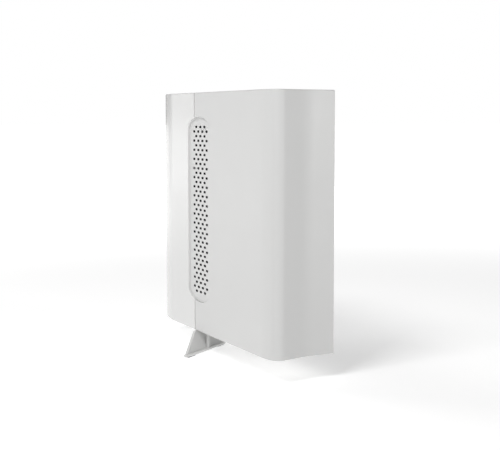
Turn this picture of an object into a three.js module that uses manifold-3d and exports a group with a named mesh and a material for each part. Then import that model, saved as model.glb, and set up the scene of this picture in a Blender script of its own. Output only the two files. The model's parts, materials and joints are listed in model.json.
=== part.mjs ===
// Wireless router: an upright slab enclosure on two diagonal blade legs.
// Millimetres, +Z up, the floor at z = 0, the broad vent face looking towards -Y, sockets towards +Y.
import * as THREE from "three";
import { mergeVertices } from "three/addons/utils/BufferGeometryUtils.js";
import Module from "manifold-3d";

// ---- driving dimensions --------------------------------------------------------------------
const BODY_LENGTH = 250; // along X, from the rounded nose to the shoulder of the near corner
const BODY_HEIGHT = 200;
const BODY_THICKNESS = 57; // along Y
const STAND_HEIGHT = 18; // gap between the floor and the enclosure's underside
const WALL = 2.5;
const GAP = 0.3; // clearance left between neighbouring pieces

// Plan outline of the enclosure.
const CORNER_LEAD_RADIUS = 54; // gentle start of the near corner
const CORNER_LEAD_SWEEP = 15; // degrees
const CORNER_RADIUS = 7.5; // tight shoulder of the near corner
const CORNER_SWEEP = 92;
const FLARE_LENGTH = 16.5; // flat behind the shoulder
const WAIST_RADIUS = 55; // hollow bend between the flare and the flat end face
const WAIST_SWEEP = 12.3;
const NOSE_RADIUS = 110; // gentle sweep of the end cover's broad face
const NOSE_SWEEP = 26;
const NOSE_CORNER_RADIUS = 15;
const REAR_CORNER_RADIUS = 12;
const EDGE_CHAMFER = 0.8; // top and bottom rims

// Seam between the main shell and the end cover.
const SEAM_X = -22.4;
const SEAM_WIDTH = 1.4;
const LIP_REACH = 6; // tongue of the main shell inside the end cover
const LIP_THICKNESS = 1.6;
const GASKET_DEPTH = 1.2; // how far the seam gasket lies below the surface

// Vent panel in the broad face.
const VENT_X = -13.6;
const VENT_BOTTOM_MARGIN = 25.1; // from the enclosure's underside up to the panel
const VENT_TOP_MARGIN = 20.1; // from the panel up to the enclosure's top
const VENT_WIDTH = 46.4;
const VENT_CAP_HEIGHT = 10; // the ends are half ellipses
const VENT_RECESS = 1.8;
const VENT_FLANGE = 3;
const HOLE_FIELD_MARGIN = 8.2; // from the panel's end to the first row
const HOLE_ROW_PITCH = 3.84;
const HOLE_COLUMN_PITCH = 8.84;
const HOLE_WIDTH = 4.3;
const HOLE_HEIGHT = 1.7;

// Legs: each is drawn from its tip inwards, then turned under the enclosure.
const LEG_TIP = [5.3, -45.9];
const LEG_ANGLE = 129.1; // degrees from +X to the leg's inward direction
const FRONT_LEG_LENGTH = 68;
const REAR_LEG_LENGTH = 47;
const FOOT_WIDTH = 6;
const FOOT_THICKNESS = 2;
const PAD_PROUD = 0.6; // rubber below the foot
const PAD_THICKNESS = 1.4;
const WEB_THICKNESS = 2.6;
const WEB_LEAN = 0.38; // sideways travel per millimetre of height
const WEB_OFFSET = 1.5;
const LEG_TAB = { from: 40, to: 66, left: -14.5, right: 12, thickness: 2.5 };
const LEG_SCREWS = [[44, -10.5], [60, 3]];
const PILLAR = [38, 2.2];

// ---- derived planes ------------------------------------------------------------------------
const FRONT_Y = -BODY_THICKNESS / 2;
const REAR_Y = BODY_THICKNESS / 2;
const BOTTOM_Z = STAND_HEIGHT;
const TOP_Z = STAND_HEIGHT + BODY_HEIGHT;
const NOSE_X = -BODY_LENGTH / 2;
const PANEL_Y = REAR_Y - WALL;
const VENT_HEIGHT = BODY_HEIGHT - VENT_BOTTOM_MARGIN - VENT_TOP_MARGIN;
const VENT_Z = BOTTOM_Z + VENT_BOTTOM_MARGIN + VENT_HEIGHT / 2;
const HOLE_ROWS = Math.floor((VENT_HEIGHT - 2 * HOLE_FIELD_MARGIN) / HOLE_ROW_PITCH) + 1;

// Circuit board and what it carries: heights hang from the top or stand on the bottom.
const BOARD = {
  x0: -76,
  x1: 98,
  y0: REAR_Y - 20.5,
  thickness: 1.6,
  z0: BOTTOM_Z + 16,
  z1: TOP_Z - 20,
};
const BOARD_REAR = BOARD.y0 + BOARD.thickness;
const BOARD_SCREW_Z = [BOARD.z0 + 32, BOARD.z1 - 8];
const BOARD_SCREWS = BOARD_SCREW_Z.flatMap((z) => [[-12, z], [92, z]]);
const PANEL_SCREW_Z = [BOTTOM_Z + 9, TOP_Z - 9];
const PANEL_SCREWS = PANEL_SCREW_Z.flatMap((z) => [[-12, z], [101, z]]);
const SOCKET_Z = BOTTOM_Z + 26;
const SOCKETS = { jack_wan: 58, jack_lan_1: 34, jack_lan_2: 15, jack_lan_3: -4 };
const SOCKET_BODY = { width: 15.9, height: 15, depth: 18.3 };
const SOCKET_MOUTH = { width: 12, height: 9, depth: 13, latchWidth: 5, latchDrop: 2 };
const DC_JACK = { x: 95, width: 9.4, height: 11, bore: 6.4, depth: 12, pin: 2 };
const POWER_BUTTON = { x: 79, z: SOCKET_Z, radius: 4.2, proud: 1, travel: 2 };
const RESET_BUTTON = { x: 79, z: SOCKET_Z + 18, radius: 1.7, pinhole: 1.2, travel: 0.8 };
const PAIR_BUTTON = { x: 40, y: 0, radius: 6, proud: 0.4, travel: 0.8 };
const STATUS_LIGHT = { y: 6.5, z: TOP_Z - 68, width: 3.2, length: 30 };
const SWITCH_TOP_Y = PANEL_Y - 8.6; // power switch
const RESET_TOP_Y = PANEL_Y - 12.4; // reset switch

const rad = THREE.MathUtils.degToRad;
const wasm = await Module();
wasm.setup();

// ---- materials -----------------------------------------------------------------------------
const paint = (color, roughness, metalness = 0) =>
  new THREE.MeshStandardMaterial({ color, roughness, metalness });
const shellPlastic = () => paint(0xe3e3e2, 0.45);
const coverPlastic = () => paint(0xefefee, 0.2);
const darkPlastic = () => paint(0x3a3c3f, 0.55);
const rubber = () => paint(0x55585b, 0.85);
const steel = () => paint(0xb9bcc0, 0.35, 1);
const aluminium = () => paint(0xc9ccd0, 0.4, 1);
const boardGreen = () => paint(0x1f5a3a, 0.5);
const chipBlack = () => paint(0x1d1e20, 0.6);
const lightPipe = () => paint(0xf4f6f8, 0.25);

// ---- solid helpers -------------------------------------------------------------------------
function solidOf(geometry) {
  const bare = geometry.clone();
  bare.deleteAttribute("normal");
  bare.deleteAttribute("uv");
  const merged = mergeVertices(bare, 1e-4);
  return new wasm.Manifold(
    new wasm.Mesh({
      numProp: 3,
      vertProperties: new Float32Array(merged.attributes.position.array),
      triVerts: new Uint32Array(merged.index.array),
    }),
  );
}

function meshOf(name, solid, material) {
  const data = solid.getMesh();
  const geometry = new THREE.BufferGeometry();
  geometry.setAttribute("position", new THREE.BufferAttribute(data.vertProperties, 3));
  geometry.setIndex(new THREE.BufferAttribute(data.triVerts, 1));
  geometry.computeVertexNormals();
  const mesh = new THREE.Mesh(geometry, material);
  mesh.name = name;
  return mesh;
}

function box([x0, x1], [y0, y1], [z0, z1]) {
  const geometry = new THREE.BoxGeometry(x1 - x0, y1 - y0, z1 - z0);
  geometry.translate((x0 + x1) / 2, (y0 + y1) / 2, (z0 + z1) / 2);
  return solidOf(geometry);
}

// A plan outline pushed up along Z.
function prism(points, z0, z1, chamfer = 0) {
  const geometry = new THREE.ExtrudeGeometry(new THREE.Shape(points), {
    depth: z1 - z0 - 2 * chamfer,
    bevelEnabled: chamfer > 0,
    bevelThickness: chamfer,
    bevelSize: chamfer,
    bevelOffset: -chamfer,
    bevelSegments: 2,
  });
  geometry.translate(0, 0, z0 + chamfer);
  return solidOf(geometry);
}

// A shape drawn in X and Z, pushed along Y from y0 to y1.
function frontPrism(shape, y0, y1) {
  const geometry = new THREE.ExtrudeGeometry(shape, { depth: y1 - y0, bevelEnabled: false });
  geometry.rotateX(Math.PI / 2);
  geometry.translate(0, y1, 0);
  return solidOf(geometry);
}

// A round bar along one axis: centre holds the two other coordinates in X, Y, Z order.
function bar(axis, centre, radius, from, to, segments = 20) {
  const geometry = new THREE.CylinderGeometry(radius, radius, to - from, segments);
  const middle = (from + to) / 2;
  if (axis === "x") {
    geometry.rotateZ(Math.PI / 2).translate(middle, centre[0], centre[1]);
  } else if (axis === "y") {
    geometry.translate(centre[0], middle, centre[1]);
  } else {
    geometry.rotateX(Math.PI / 2).translate(centre[0], centre[1], middle);
  }
  return solidOf(geometry);
}

const union = (solids) => solids.reduce((sum, next) => sum.add(next));

// ---- outlines ------------------------------------------------------------------------------
// Draws a closed outline by walking: straights, and arcs that turn left (+) or right (-).
class Walk {
  constructor(x, y, heading) {
    this.points = [new THREE.Vector2(x, y)];
    this.heading = heading;
  }
  get at() {
    return this.points[this.points.length - 1];
  }
  straight(length) {
    const angle = rad(this.heading);
    const step = new THREE.Vector2(Math.cos(angle), Math.sin(angle)).multiplyScalar(length);
    this.points.push(this.at.clone().add(step));
    return this;
  }
  untilX(x) {
    return this.straight((x - this.at.x) / Math.cos(rad(this.heading)));
  }
  untilY(y) {
    return this.straight((y - this.at.y) / Math.sin(rad(this.heading)));
  }
  arc(radius, sweep, steps) {
    const chord = 2 * radius * Math.sin(rad(Math.abs(sweep) / steps / 2));
    for (let i = 0; i < steps; i++) {
      this.heading += sweep / steps / 2;
      this.straight(chord);
      this.heading += sweep / steps / 2;
    }
    return this;
  }
}

// The enclosure's plan, shrunk by inset; rearY moves only the rear side, to open a cavity there.
function bodyOutline(inset, rearY = REAR_Y - inset) {
  const leadWidth = CORNER_LEAD_RADIUS * Math.sin(rad(CORNER_LEAD_SWEEP));
  const shoulderWidth = CORNER_RADIUS * (1 - Math.sin(rad(CORNER_LEAD_SWEEP)));
  const cornerStart = BODY_LENGTH / 2 - shoulderWidth - leadWidth;
  const noseSin = Math.sin(rad(NOSE_SWEEP));
  const noseCos = Math.cos(rad(NOSE_SWEEP));
  const noseEndY = FRONT_Y + NOSE_RADIUS * (1 - noseCos) + NOSE_CORNER_RADIUS * noseCos;
  const walk = new Walk(cornerStart, FRONT_Y + inset, 0)
    .arc(CORNER_LEAD_RADIUS - inset, CORNER_LEAD_SWEEP, 5)
    .arc(CORNER_RADIUS - inset, CORNER_SWEEP, 12)
    .straight(FLARE_LENGTH)
    .arc(WAIST_RADIUS + inset, -WAIST_SWEEP, 4)
    .untilY(rearY);
  walk.heading = 180;
  walk.untilX(NOSE_X + REAR_CORNER_RADIUS)
    .arc(REAR_CORNER_RADIUS - inset, 90, 8)
    .untilY(noseEndY)
    .arc(NOSE_CORNER_RADIUS - inset, 90 - NOSE_SWEEP, 8)
    .arc(NOSE_RADIUS - inset, NOSE_SWEEP, 8);
  return walk.points;
}

// The vent panel's outline grown by a margin: straight sides and half-ellipse ends.
function ventShape(margin) {
  const halfWidth = VENT_WIDTH / 2 + margin;
  const straight = VENT_HEIGHT / 2 - VENT_CAP_HEIGHT;
  const cap = VENT_CAP_HEIGHT + margin;
  const shape = new THREE.Shape();
  shape.absellipse(VENT_X, VENT_Z - straight, halfWidth, cap, Math.PI, 2 * Math.PI, false);
  shape.absellipse(VENT_X, VENT_Z + straight, halfWidth, cap, 0, Math.PI, false);
  return new THREE.Shape(shape.getPoints(10));
}

// ---- enclosure -----------------------------------------------------------------------------
const panelGap = SEAM_WIDTH / 2;
const everywhere = [-300, 300];

function outerBody() {
  return prism(bodyOutline(0), BOTTOM_Z, TOP_Z, EDGE_CHAMFER);
}

function ventCut() {
  return frontPrism(ventShape(0), FRONT_Y - 1, FRONT_Y + WALL + 1);
}

// Room for the grille's flange and the dust screen behind the broad face.
function grilleRoom() {
  return frontPrism(ventShape(VENT_FLANGE + GAP), FRONT_Y + WALL, FRONT_Y + WALL + 8);
}

function seamLip() {
  const skin = WALL + GAP;
  const outer = box(
    [SEAM_X - LIP_REACH, SEAM_X + panelGap + 3],
    [FRONT_Y + skin, REAR_Y - skin],
    [BOTTOM_Z + skin, TOP_Z - skin],
  );
  const root = box(
    [SEAM_X + panelGap, SEAM_X + panelGap + 3],
    [FRONT_Y + WALL - 0.1, REAR_Y - skin],
    [BOTTOM_Z + WALL - 0.1, TOP_Z - WALL + 0.1],
  );
  const inside = skin + LIP_THICKNESS;
  const hollow = box(
    everywhere,
    [FRONT_Y + inside, REAR_Y - inside],
    [BOTTOM_Z + inside, TOP_Z - inside],
  );
  return outer.add(root).subtract(hollow);
}

function mainShell() {
  const half = box([SEAM_X + panelGap, 300], everywhere, everywhere);
  const cavity = prism(bodyOutline(WALL, REAR_Y + 5), BOTTOM_Z + WALL, TOP_Z - WALL);
  const legBosses = legScrewPlaces().map(([x, y]) =>
    bar("z", [x, y], 3.5, BOTTOM_Z + 1, BOTTOM_Z + 10, 16));
  const panelBosses = PANEL_SCREWS.map(([x, z]) =>
    bar("y", [x, z], 4, FRONT_Y + 1, PANEL_Y - GAP, 16));
  const pairPosts = [-8, 8].map((dx) =>
    bar("z", [PAIR_BUTTON.x + dx, PAIR_BUTTON.y], 1.6, TOP_Z - 11, TOP_Z - 1, 12));
  const solid = union([
    outerBody().intersect(half).subtract(cavity),
    seamLip(),
    ...legBosses.filter((_, i) => legScrewPlaces()[i][0] > SEAM_X + 6),
    ...panelBosses,
    ...pairPosts,
  ]);
  const cuts = [
    ventCut(),
    grilleRoom(),
    bar("z", [PAIR_BUTTON.x, PAIR_BUTTON.y], PAIR_BUTTON.radius + GAP, TOP_Z - 5, TOP_Z + 5, 32),
    ...legScrewPlaces().map(([x, y]) => bar("z", [x, y], 1.5, BOTTOM_Z - 5, BOTTOM_Z + 8.5, 12)),
    ...PANEL_SCREWS.map(([x, z]) => bar("y", [x, z], 1.5, PANEL_Y - 12, PANEL_Y + 5, 12)),
  ];
  return solid.subtract(union(cuts));
}

function endCover() {
  const half = box([-300, SEAM_X - panelGap], everywhere, everywhere);
  const cavity = prism(bodyOutline(WALL), BOTTOM_Z + WALL, TOP_Z - WALL)
    .add(box([SEAM_X - 5, SEAM_X + 5], [FRONT_Y + WALL, REAR_Y - WALL],
      [BOTTOM_Z + WALL, TOP_Z - WALL]));
  const boardY = [BOARD.y0 - GAP, BOARD_REAR + GAP];
  const guide = box([BOARD.x0 - 6, BOARD.x0 + 4], [BOARD.y0 - 3, PANEL_Y + 1],
    [SOC.z - 12, SOC.z])
    .subtract(box([BOARD.x0 - GAP, BOARD.x0 + 5], boardY, [SOC.z - 22, SOC.z + 8]));
  const legBosses = legScrewPlaces()
    .filter(([x]) => x < SEAM_X - LIP_REACH)
    .map(([x, y]) => bar("z", [x, y], 3.5, BOTTOM_Z + 1, BOTTOM_Z + 10, 16));
  const lightPosts = [-14, 14].map((dz) =>
    bar("x", [STATUS_LIGHT.y - 4.6, STATUS_LIGHT.z + dz], 1.3, NOSE_X + 1, NOSE_X + 7, 10));
  const cuts = [
    ventCut(),
    grilleRoom(),
    lightSlot(STATUS_LIGHT.width / 2 + 0.2, NOSE_X - 1, NOSE_X + WALL + 0.5),
    ...legScrewPlaces().map(([x, y]) => bar("z", [x, y], 1.5, BOTTOM_Z - 5, BOTTOM_Z + 8.5, 12)),
  ];
  return outerBody()
    .intersect(half)
    .subtract(cavity)
    .add(union([guide, ...legBosses, ...lightPosts]))
    .subtract(union(cuts));
}

function seamGasket() {
  const inset = GASKET_DEPTH;
  const width = [SEAM_X - panelGap + GAP, SEAM_X + panelGap - GAP];
  const ring = box(width, [FRONT_Y + inset, REAR_Y - inset], [BOTTOM_Z + inset, TOP_Z - inset]);
  const hollow = WALL + 0.05;
  const hole = box(everywhere, [FRONT_Y + hollow, REAR_Y - hollow],
    [BOTTOM_Z + hollow, TOP_Z - hollow]);
  const ventGap = frontPrism(ventShape(GAP), FRONT_Y - 1, FRONT_Y + 10);
  return ring.subtract(hole).subtract(ventGap);
}

// Slots that let warm air out through the rear panel, side by side.
function exhaustSlots() {
  const slots = [];
  for (let x = 6; x <= 84; x += 6) {
    slots.push(box([x - 1.1, x + 1.1], [PANEL_Y - 1, REAR_Y + 1], [TOP_Z - 78, TOP_Z - 34]));
  }
  return slots;
}

// Everything that reaches out through the port area of the rear panel.
function portCuts(clearance) {
  const halfWidth = SOCKET_BODY.width / 2 + clearance;
  const halfHeight = SOCKET_BODY.height / 2 + clearance;
  const through = [PANEL_Y - 1, REAR_Y + 1];
  const sockets = Object.values(SOCKETS).map((x) =>
    box([x - halfWidth, x + halfWidth], through, [SOCKET_Z - halfHeight, SOCKET_Z + halfHeight]));
  const dcWidth = DC_JACK.width / 2 + clearance;
  const dcHeight = DC_JACK.height / 2 + clearance;
  return [
    ...sockets,
    box([DC_JACK.x - dcWidth, DC_JACK.x + dcWidth], through,
      [SOCKET_Z - dcHeight, SOCKET_Z + dcHeight]),
    bar("y", [POWER_BUTTON.x, POWER_BUTTON.z], POWER_BUTTON.radius + clearance, ...through, 24),
    bar("y", [RESET_BUTTON.x, RESET_BUTTON.z], RESET_BUTTON.pinhole, ...through, 12),
  ];
}

const BEZEL = { x0: -15.5, x1: 102, z0: SOCKET_Z - 11, z1: SOCKET_Z + 23, thickness: 1.2 };

function rearPanel() {
  const outline = bodyOutline(WALL + GAP, REAR_Y + 5);
  const plate = prism(outline, BOTTOM_Z + WALL + GAP, TOP_Z - WALL - GAP)
    .intersect(box([SEAM_X + panelGap, 300], [PANEL_Y, REAR_Y], everywhere));
  const standoffs = BOARD_SCREWS.map(([x, z]) =>
    bar("y", [x, z], 3.5, BOARD_REAR + GAP, PANEL_Y + 1, 16));
  const resetSleeve = bar("y", [RESET_BUTTON.x, RESET_BUTTON.z], 3.4, PANEL_Y - 9, PANEL_Y + 1, 16);
  const pocket = box([BEZEL.x0 - GAP, BEZEL.x1 + GAP], [REAR_Y - BEZEL.thickness - GAP, 60],
    [BEZEL.z0 - GAP, BEZEL.z1 + GAP]);
  const countersinks = PANEL_SCREWS.map(([x, z]) =>
    bar("y", [x, z], 3.2, REAR_Y - 1.8, REAR_Y + 1, 20));
  const screwHoles = [
    ...BOARD_SCREWS.map(([x, z]) => bar("y", [x, z], 1.3, BOARD_REAR - 1, BOARD_REAR + 10, 12)),
    ...PANEL_SCREWS.map(([x, z]) => bar("y", [x, z], 1.7, PANEL_Y - 1, REAR_Y + 1, 12)),
  ];
  const resetBore = bar("y", [RESET_BUTTON.x, RESET_BUTTON.z], RESET_BUTTON.radius + GAP,
    PANEL_Y - 16, PANEL_Y, 16);
  return plate
    .add(union([...standoffs, resetSleeve]))
    .subtract(union([pocket, ...countersinks, ...screwHoles, resetBore,
      ...exhaustSlots(), ...portCuts(GAP)]));
}

function portBezel() {
  return box([BEZEL.x0, BEZEL.x1], [REAR_Y - BEZEL.thickness, REAR_Y], [BEZEL.z0, BEZEL.z1])
    .subtract(union(portCuts(GAP)));
}

// ---- vent ----------------------------------------------------------------------------------
// Staggered slots: rows of three and of four by turns, each an elongated hexagon.
function ventHoles() {
  const holes = [];
  for (let row = 0; row < HOLE_ROWS; row++) {
    const count = row % 2 === 0 ? 3 : 4;
    const z = VENT_Z + (row - (HOLE_ROWS - 1) / 2) * HOLE_ROW_PITCH;
    for (let column = 0; column < count; column++) {
      const x = VENT_X + (column - (count - 1) / 2) * HOLE_COLUMN_PITCH;
      const w = HOLE_WIDTH / 2;
      const h = HOLE_HEIGHT / 2;
      const corners = [[w, 0], [w - h, h], [h - w, h], [-w, 0], [h - w, -h], [w - h, -h]];
      holes.push(new THREE.Path(corners.map(([dx, dz]) => new THREE.Vector2(x + dx, z + dz))));
    }
  }
  return holes;
}

function ventGrille() {
  const faceY = FRONT_Y + VENT_RECESS;
  const backY = FRONT_Y + WALL + GAP + 1.6;
  const plate = ventShape(-GAP);
  plate.holes = ventHoles();
  const flange = ventShape(VENT_FLANGE);
  flange.holes = [new THREE.Path(ventShape(-GAP - 0.5).getPoints())];
  return frontPrism(plate, faceY, backY)
    .add(frontPrism(flange, FRONT_Y + WALL + GAP, backY));
}

function ventScreen() {
  const frontY = FRONT_Y + WALL + GAP + 1.6 + 0.2;
  return frontPrism(ventShape(-2), frontY, frontY + 0.8);
}

// ---- legs ----------------------------------------------------------------------------------
function placeFrontLeg(solid) {
  return solid.rotate([0, 0, LEG_ANGLE]).translate([LEG_TIP[0], LEG_TIP[1], 0]);
}

function placeRearLeg(solid) {
  return placeFrontLeg(solid).rotate([0, 0, 180]);
}

// Screw positions of both legs in plan.
function legScrewPlaces() {
  const angle = rad(LEG_ANGLE);
  const front = LEG_SCREWS.map(([u, p]) => [
    LEG_TIP[0] + u * Math.cos(angle) - p * Math.sin(angle),
    LEG_TIP[1] + u * Math.sin(angle) + p * Math.cos(angle),
  ]);
  return [...front, ...front.map(([x, y]) => [-x, -y])];
}

// A blade leg along +X from its tip: foot bar, leaning web, pillar and screwed tab.
function legSolid(length, padPlaces) {
  const webTop = STAND_HEIGHT - GAP;
  const footTop = PAD_PROUD + FOOT_THICKNESS;
  const radius = FOOT_WIDTH / 2;
  const foot = new Walk(radius, 0, 0)
    .straight(length - radius);
  foot.heading = 90;
  foot.straight(FOOT_WIDTH);
  foot.heading = 180;
  foot.straight(length - radius).arc(radius, 180, 10);
  const innerTop = LEG_TAB.to - 2;
  const web = new THREE.Shape([
    new THREE.Vector2(4, footTop - 0.8),
    new THREE.Vector2(length, footTop - 0.8),
    new THREE.Vector2(Math.max(length, innerTop), webTop),
    new THREE.Vector2(27.5, webTop),
  ]);
  const webSolid = solidOf(
    new THREE.ExtrudeGeometry(web, { depth: WEB_THICKNESS, bevelEnabled: false })
      .rotateX(Math.PI / 2)
      .translate(0, WEB_THICKNESS + WEB_OFFSET, 0)
      .applyMatrix4(new THREE.Matrix4().makeShear(0, 0, 0, 0, 0, WEB_LEAN)),
  );
  const tab = box([LEG_TAB.from, LEG_TAB.to], [LEG_TAB.left, LEG_TAB.right],
    [webTop - LEG_TAB.thickness, webTop]);
  const pillar = bar("z", PILLAR, 1.5, footTop - 0.8, webTop, 12);
  const tabReach = box([PILLAR[0] - 1.5, LEG_TAB.from + 1], [-1, 9],
    [webTop - LEG_TAB.thickness, webTop]);
  const holes = LEG_SCREWS.map((at) => bar("z", at, 1.7, webTop - 6, webTop + 2, 12));
  const pockets = padPlaces.map(([from, to]) =>
    box([from - 0.2, to + 0.2], [0.8, FOOT_WIDTH - 0.8], [0, PAD_THICKNESS + 0.2]));
  return union([prism(foot.points, PAD_PROUD, footTop), webSolid, tab, pillar, tabReach])
    .subtract(union([...holes, ...pockets]));
}

const FRONT_PADS = [[3, 14], [55, 66]];
const REAR_PADS = [[3, 14], [34, 45]];

function legPad([from, to]) {
  return box([from, to], [1, FOOT_WIDTH - 1], [0, PAD_THICKNESS]);
}

function legScrew([x, y]) {
  const tabBottom = STAND_HEIGHT - GAP - LEG_TAB.thickness;
  return bar("z", [x, y], 1.4, tabBottom - 1, BOTTOM_Z + 8, 12)
    .add(bar("z", [x, y], 2.6, tabBottom - 1.8, tabBottom - 0.1, 16));
}

// ---- circuit board -------------------------------------------------------------------------
function mainBoard() {
  const plate = box([BOARD.x0, BOARD.x1], [BOARD.y0, BOARD_REAR], [BOARD.z0, BOARD.z1]);
  const holes = BOARD_SCREWS.map(([x, z]) => bar("y", [x, z], 1.6, BOARD.y0 - 1, BOARD_REAR + 1, 12));
  return plate.subtract(union(holes));
}

function boardScrew([x, z]) {
  return bar("y", [x, z], 1.2, BOARD.y0 - 1, BOARD_REAR + 8, 12)
    .add(bar("y", [x, z], 2.5, BOARD.y0 - 2, BOARD.y0 - 0.1, 16));
}

function panelScrew([x, z]) {
  return bar("y", [x, z], 1.4, PANEL_Y - 10, REAR_Y - 0.8, 12)
    .add(bar("y", [x, z], 2.9, REAR_Y - 1.7, REAR_Y - 0.2, 20));
}

// A flat-topped part on the board's vent side.
function onBoard(x, z, width, height, thickness) {
  const base = BOARD.y0 - GAP;
  return box([x - width / 2, x + width / 2], [base - thickness, base],
    [z - height / 2, z + height / 2]);
}

// A pressed-metal can, open towards the board.
function shieldCan(x, z, width, height) {
  const wall = 0.6;
  const base = BOARD.y0 - GAP;
  return onBoard(x, z, width, height, 3.4).subtract(
    box([x - width / 2 + wall, x + width / 2 - wall], [base - 3.4 + wall, base + 1],
      [z - height / 2 + wall, z + height / 2 - wall]));
}

const HEATSINK = {
  width: 62,
  z0: BOTTOM_Z + 58,
  z1: TOP_Z - 50,
  base: 3,
  fins: 11,
  finHeight: 12,
  fin: 1.6,
};
const SOC = { x: -14, z: (HEATSINK.z0 + HEATSINK.z1) / 2, side: 21, thickness: 1.6 };
const CAN_Z = [BOARD.z1 - 72, BOARD.z1 - 24]; // shield cans

function heatsink() {
  const baseY = BOARD.y0 - GAP - SOC.thickness - 1.4;
  const x0 = SOC.x - HEATSINK.width / 2;
  const pitch = (HEATSINK.width - HEATSINK.fin) / (HEATSINK.fins - 1);
  const z = [HEATSINK.z0, HEATSINK.z1];
  const fins = Array.from({ length: HEATSINK.fins }, (_, i) =>
    box([x0 + i * pitch, x0 + i * pitch + HEATSINK.fin],
      [baseY - HEATSINK.base - HEATSINK.finHeight, baseY - HEATSINK.base + 0.5], z));
  const base = box([x0, x0 + HEATSINK.width], [baseY - HEATSINK.base, baseY], z);
  const legs = heatsinkScrewPlaces().map((at) =>
    bar("y", at, 3, baseY - 1, BOARD.y0 - GAP, 12));
  const holes = heatsinkScrewPlaces().map((at) =>
    bar("y", at, 2.4, baseY - 30, baseY - HEATSINK.base, 12)
      .add(bar("y", at, 1.3, baseY - 30, BOARD.y0, 12)));
  return union([base, ...fins, ...legs]).subtract(union(holes));
}

function heatsinkScrewPlaces() {
  return [[SOC.x - 20, HEATSINK.z0 + 8], [SOC.x + 20, HEATSINK.z1 - 8]];
}

function heatsinkScrew([x, z]) {
  const baseY = BOARD.y0 - GAP - SOC.thickness - 1.4;
  return bar("y", [x, z], 1.1, baseY - HEATSINK.base - 1, BOARD.y0 - 0.2, 10)
    .add(bar("y", [x, z], 2.1, baseY - HEATSINK.base - 1.6, baseY - HEATSINK.base - 0.1, 12));
}

// ---- sockets -------------------------------------------------------------------------------
function networkSocket(x) {
  const y = [BOARD_REAR + GAP, BOARD_REAR + GAP + SOCKET_BODY.depth];
  const body = box([x - SOCKET_BODY.width / 2, x + SOCKET_BODY.width / 2], y,
    [SOCKET_Z - SOCKET_BODY.height / 2, SOCKET_Z + SOCKET_BODY.height / 2]);
  const deep = [y[1] - SOCKET_MOUTH.depth, y[1] + 1];
  const mouth = box([x - SOCKET_MOUTH.width / 2, x + SOCKET_MOUTH.width / 2], deep,
    [SOCKET_Z - SOCKET_MOUTH.height / 2, SOCKET_Z + SOCKET_MOUTH.height / 2]);
  const latch = box([x - SOCKET_MOUTH.latchWidth / 2, x + SOCKET_MOUTH.latchWidth / 2], deep,
    [SOCKET_Z - SOCKET_MOUTH.height / 2 - SOCKET_MOUTH.latchDrop, SOCKET_Z]);
  return body.subtract(mouth.add(latch));
}

function dcJack() {
  const y = [BOARD_REAR + GAP, BOARD_REAR + GAP + SOCKET_BODY.depth];
  const at = [DC_JACK.x, SOCKET_Z];
  const body = box([DC_JACK.x - DC_JACK.width / 2, DC_JACK.x + DC_JACK.width / 2], y,
    [SOCKET_Z - DC_JACK.height / 2, SOCKET_Z + DC_JACK.height / 2]);
  const bore = bar("y", at, DC_JACK.bore / 2, y[1] - DC_JACK.depth, y[1] + 1, 24);
  const pin = bar("y", at, DC_JACK.pin / 2, y[1] - DC_JACK.depth - 1, y[1] - 2, 12);
  return body.subtract(bore).add(pin);
}

// ---- buttons -------------------------------------------------------------------------------
function powerButton() {
  const at = [POWER_BUTTON.x, POWER_BUTTON.z];
  return bar("y", at, POWER_BUTTON.radius, PANEL_Y - 2, REAR_Y + POWER_BUTTON.proud, 28)
    .add(bar("y", at, 5.4, PANEL_Y - 1.8, PANEL_Y - GAP, 24))
    .add(bar("y", at, 1.8, PANEL_Y - 6, PANEL_Y - 1, 12));
}

function powerSwitch() {
  return box([POWER_BUTTON.x - 4.5, POWER_BUTTON.x + 4.5], [BOARD_REAR + GAP, SWITCH_TOP_Y],
    [POWER_BUTTON.z - 4.5, POWER_BUTTON.z + 4.5]);
}

function resetButton() {
  const at = [RESET_BUTTON.x, RESET_BUTTON.z];
  return bar("y", at, RESET_BUTTON.radius, RESET_TOP_Y + 1, PANEL_Y - GAP, 16);
}

function resetSwitch() {
  return box([RESET_BUTTON.x - 3, RESET_BUTTON.x + 3], [BOARD_REAR + GAP, RESET_TOP_Y],
    [RESET_BUTTON.z - 3, RESET_BUTTON.z + 3]);
}

function pairButton() {
  const at = [PAIR_BUTTON.x, PAIR_BUTTON.y];
  const under = TOP_Z - WALL;
  return bar("z", at, PAIR_BUTTON.radius, under - 1.8, TOP_Z + PAIR_BUTTON.proud, 32)
    .add(bar("z", at, 7.4, under - 1.6, under - GAP, 24)
      .subtract(union([-8, 8].map((dx) =>
        bar("z", [PAIR_BUTTON.x + dx, PAIR_BUTTON.y], 2.2, TOP_Z - 68, TOP_Z + 32, 12)))))
    .add(bar("z", at, 2, under - 4, under - 1, 12));
}

function pairBoard() {
  return box([PAIR_BUTTON.x - 11, PAIR_BUTTON.x + 11], [PAIR_BUTTON.y - 6, PAIR_BUTTON.y + 6],
    [TOP_Z - 12.5, TOP_Z - 11 - GAP]);
}

function pairSwitch() {
  return box([PAIR_BUTTON.x - 3, PAIR_BUTTON.x + 3], [PAIR_BUTTON.y - 3, PAIR_BUTTON.y + 3],
    [TOP_Z - 11, TOP_Z - 7.8]);
}

// ---- status light --------------------------------------------------------------------------
// An upright stadium seen along X, from x0 to x1.
function lightSlot(halfWidth, x0, x1) {
  const straight = STATUS_LIGHT.length / 2 - STATUS_LIGHT.width / 2;
  const at = (dz) => bar("x", [STATUS_LIGHT.y, STATUS_LIGHT.z + dz], halfWidth, x0, x1, 16);
  return union([
    at(straight),
    at(-straight),
    box([x0, x1], [STATUS_LIGHT.y - halfWidth, STATUS_LIGHT.y + halfWidth],
      [STATUS_LIGHT.z - straight, STATUS_LIGHT.z + straight]),
  ]);
}

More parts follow.
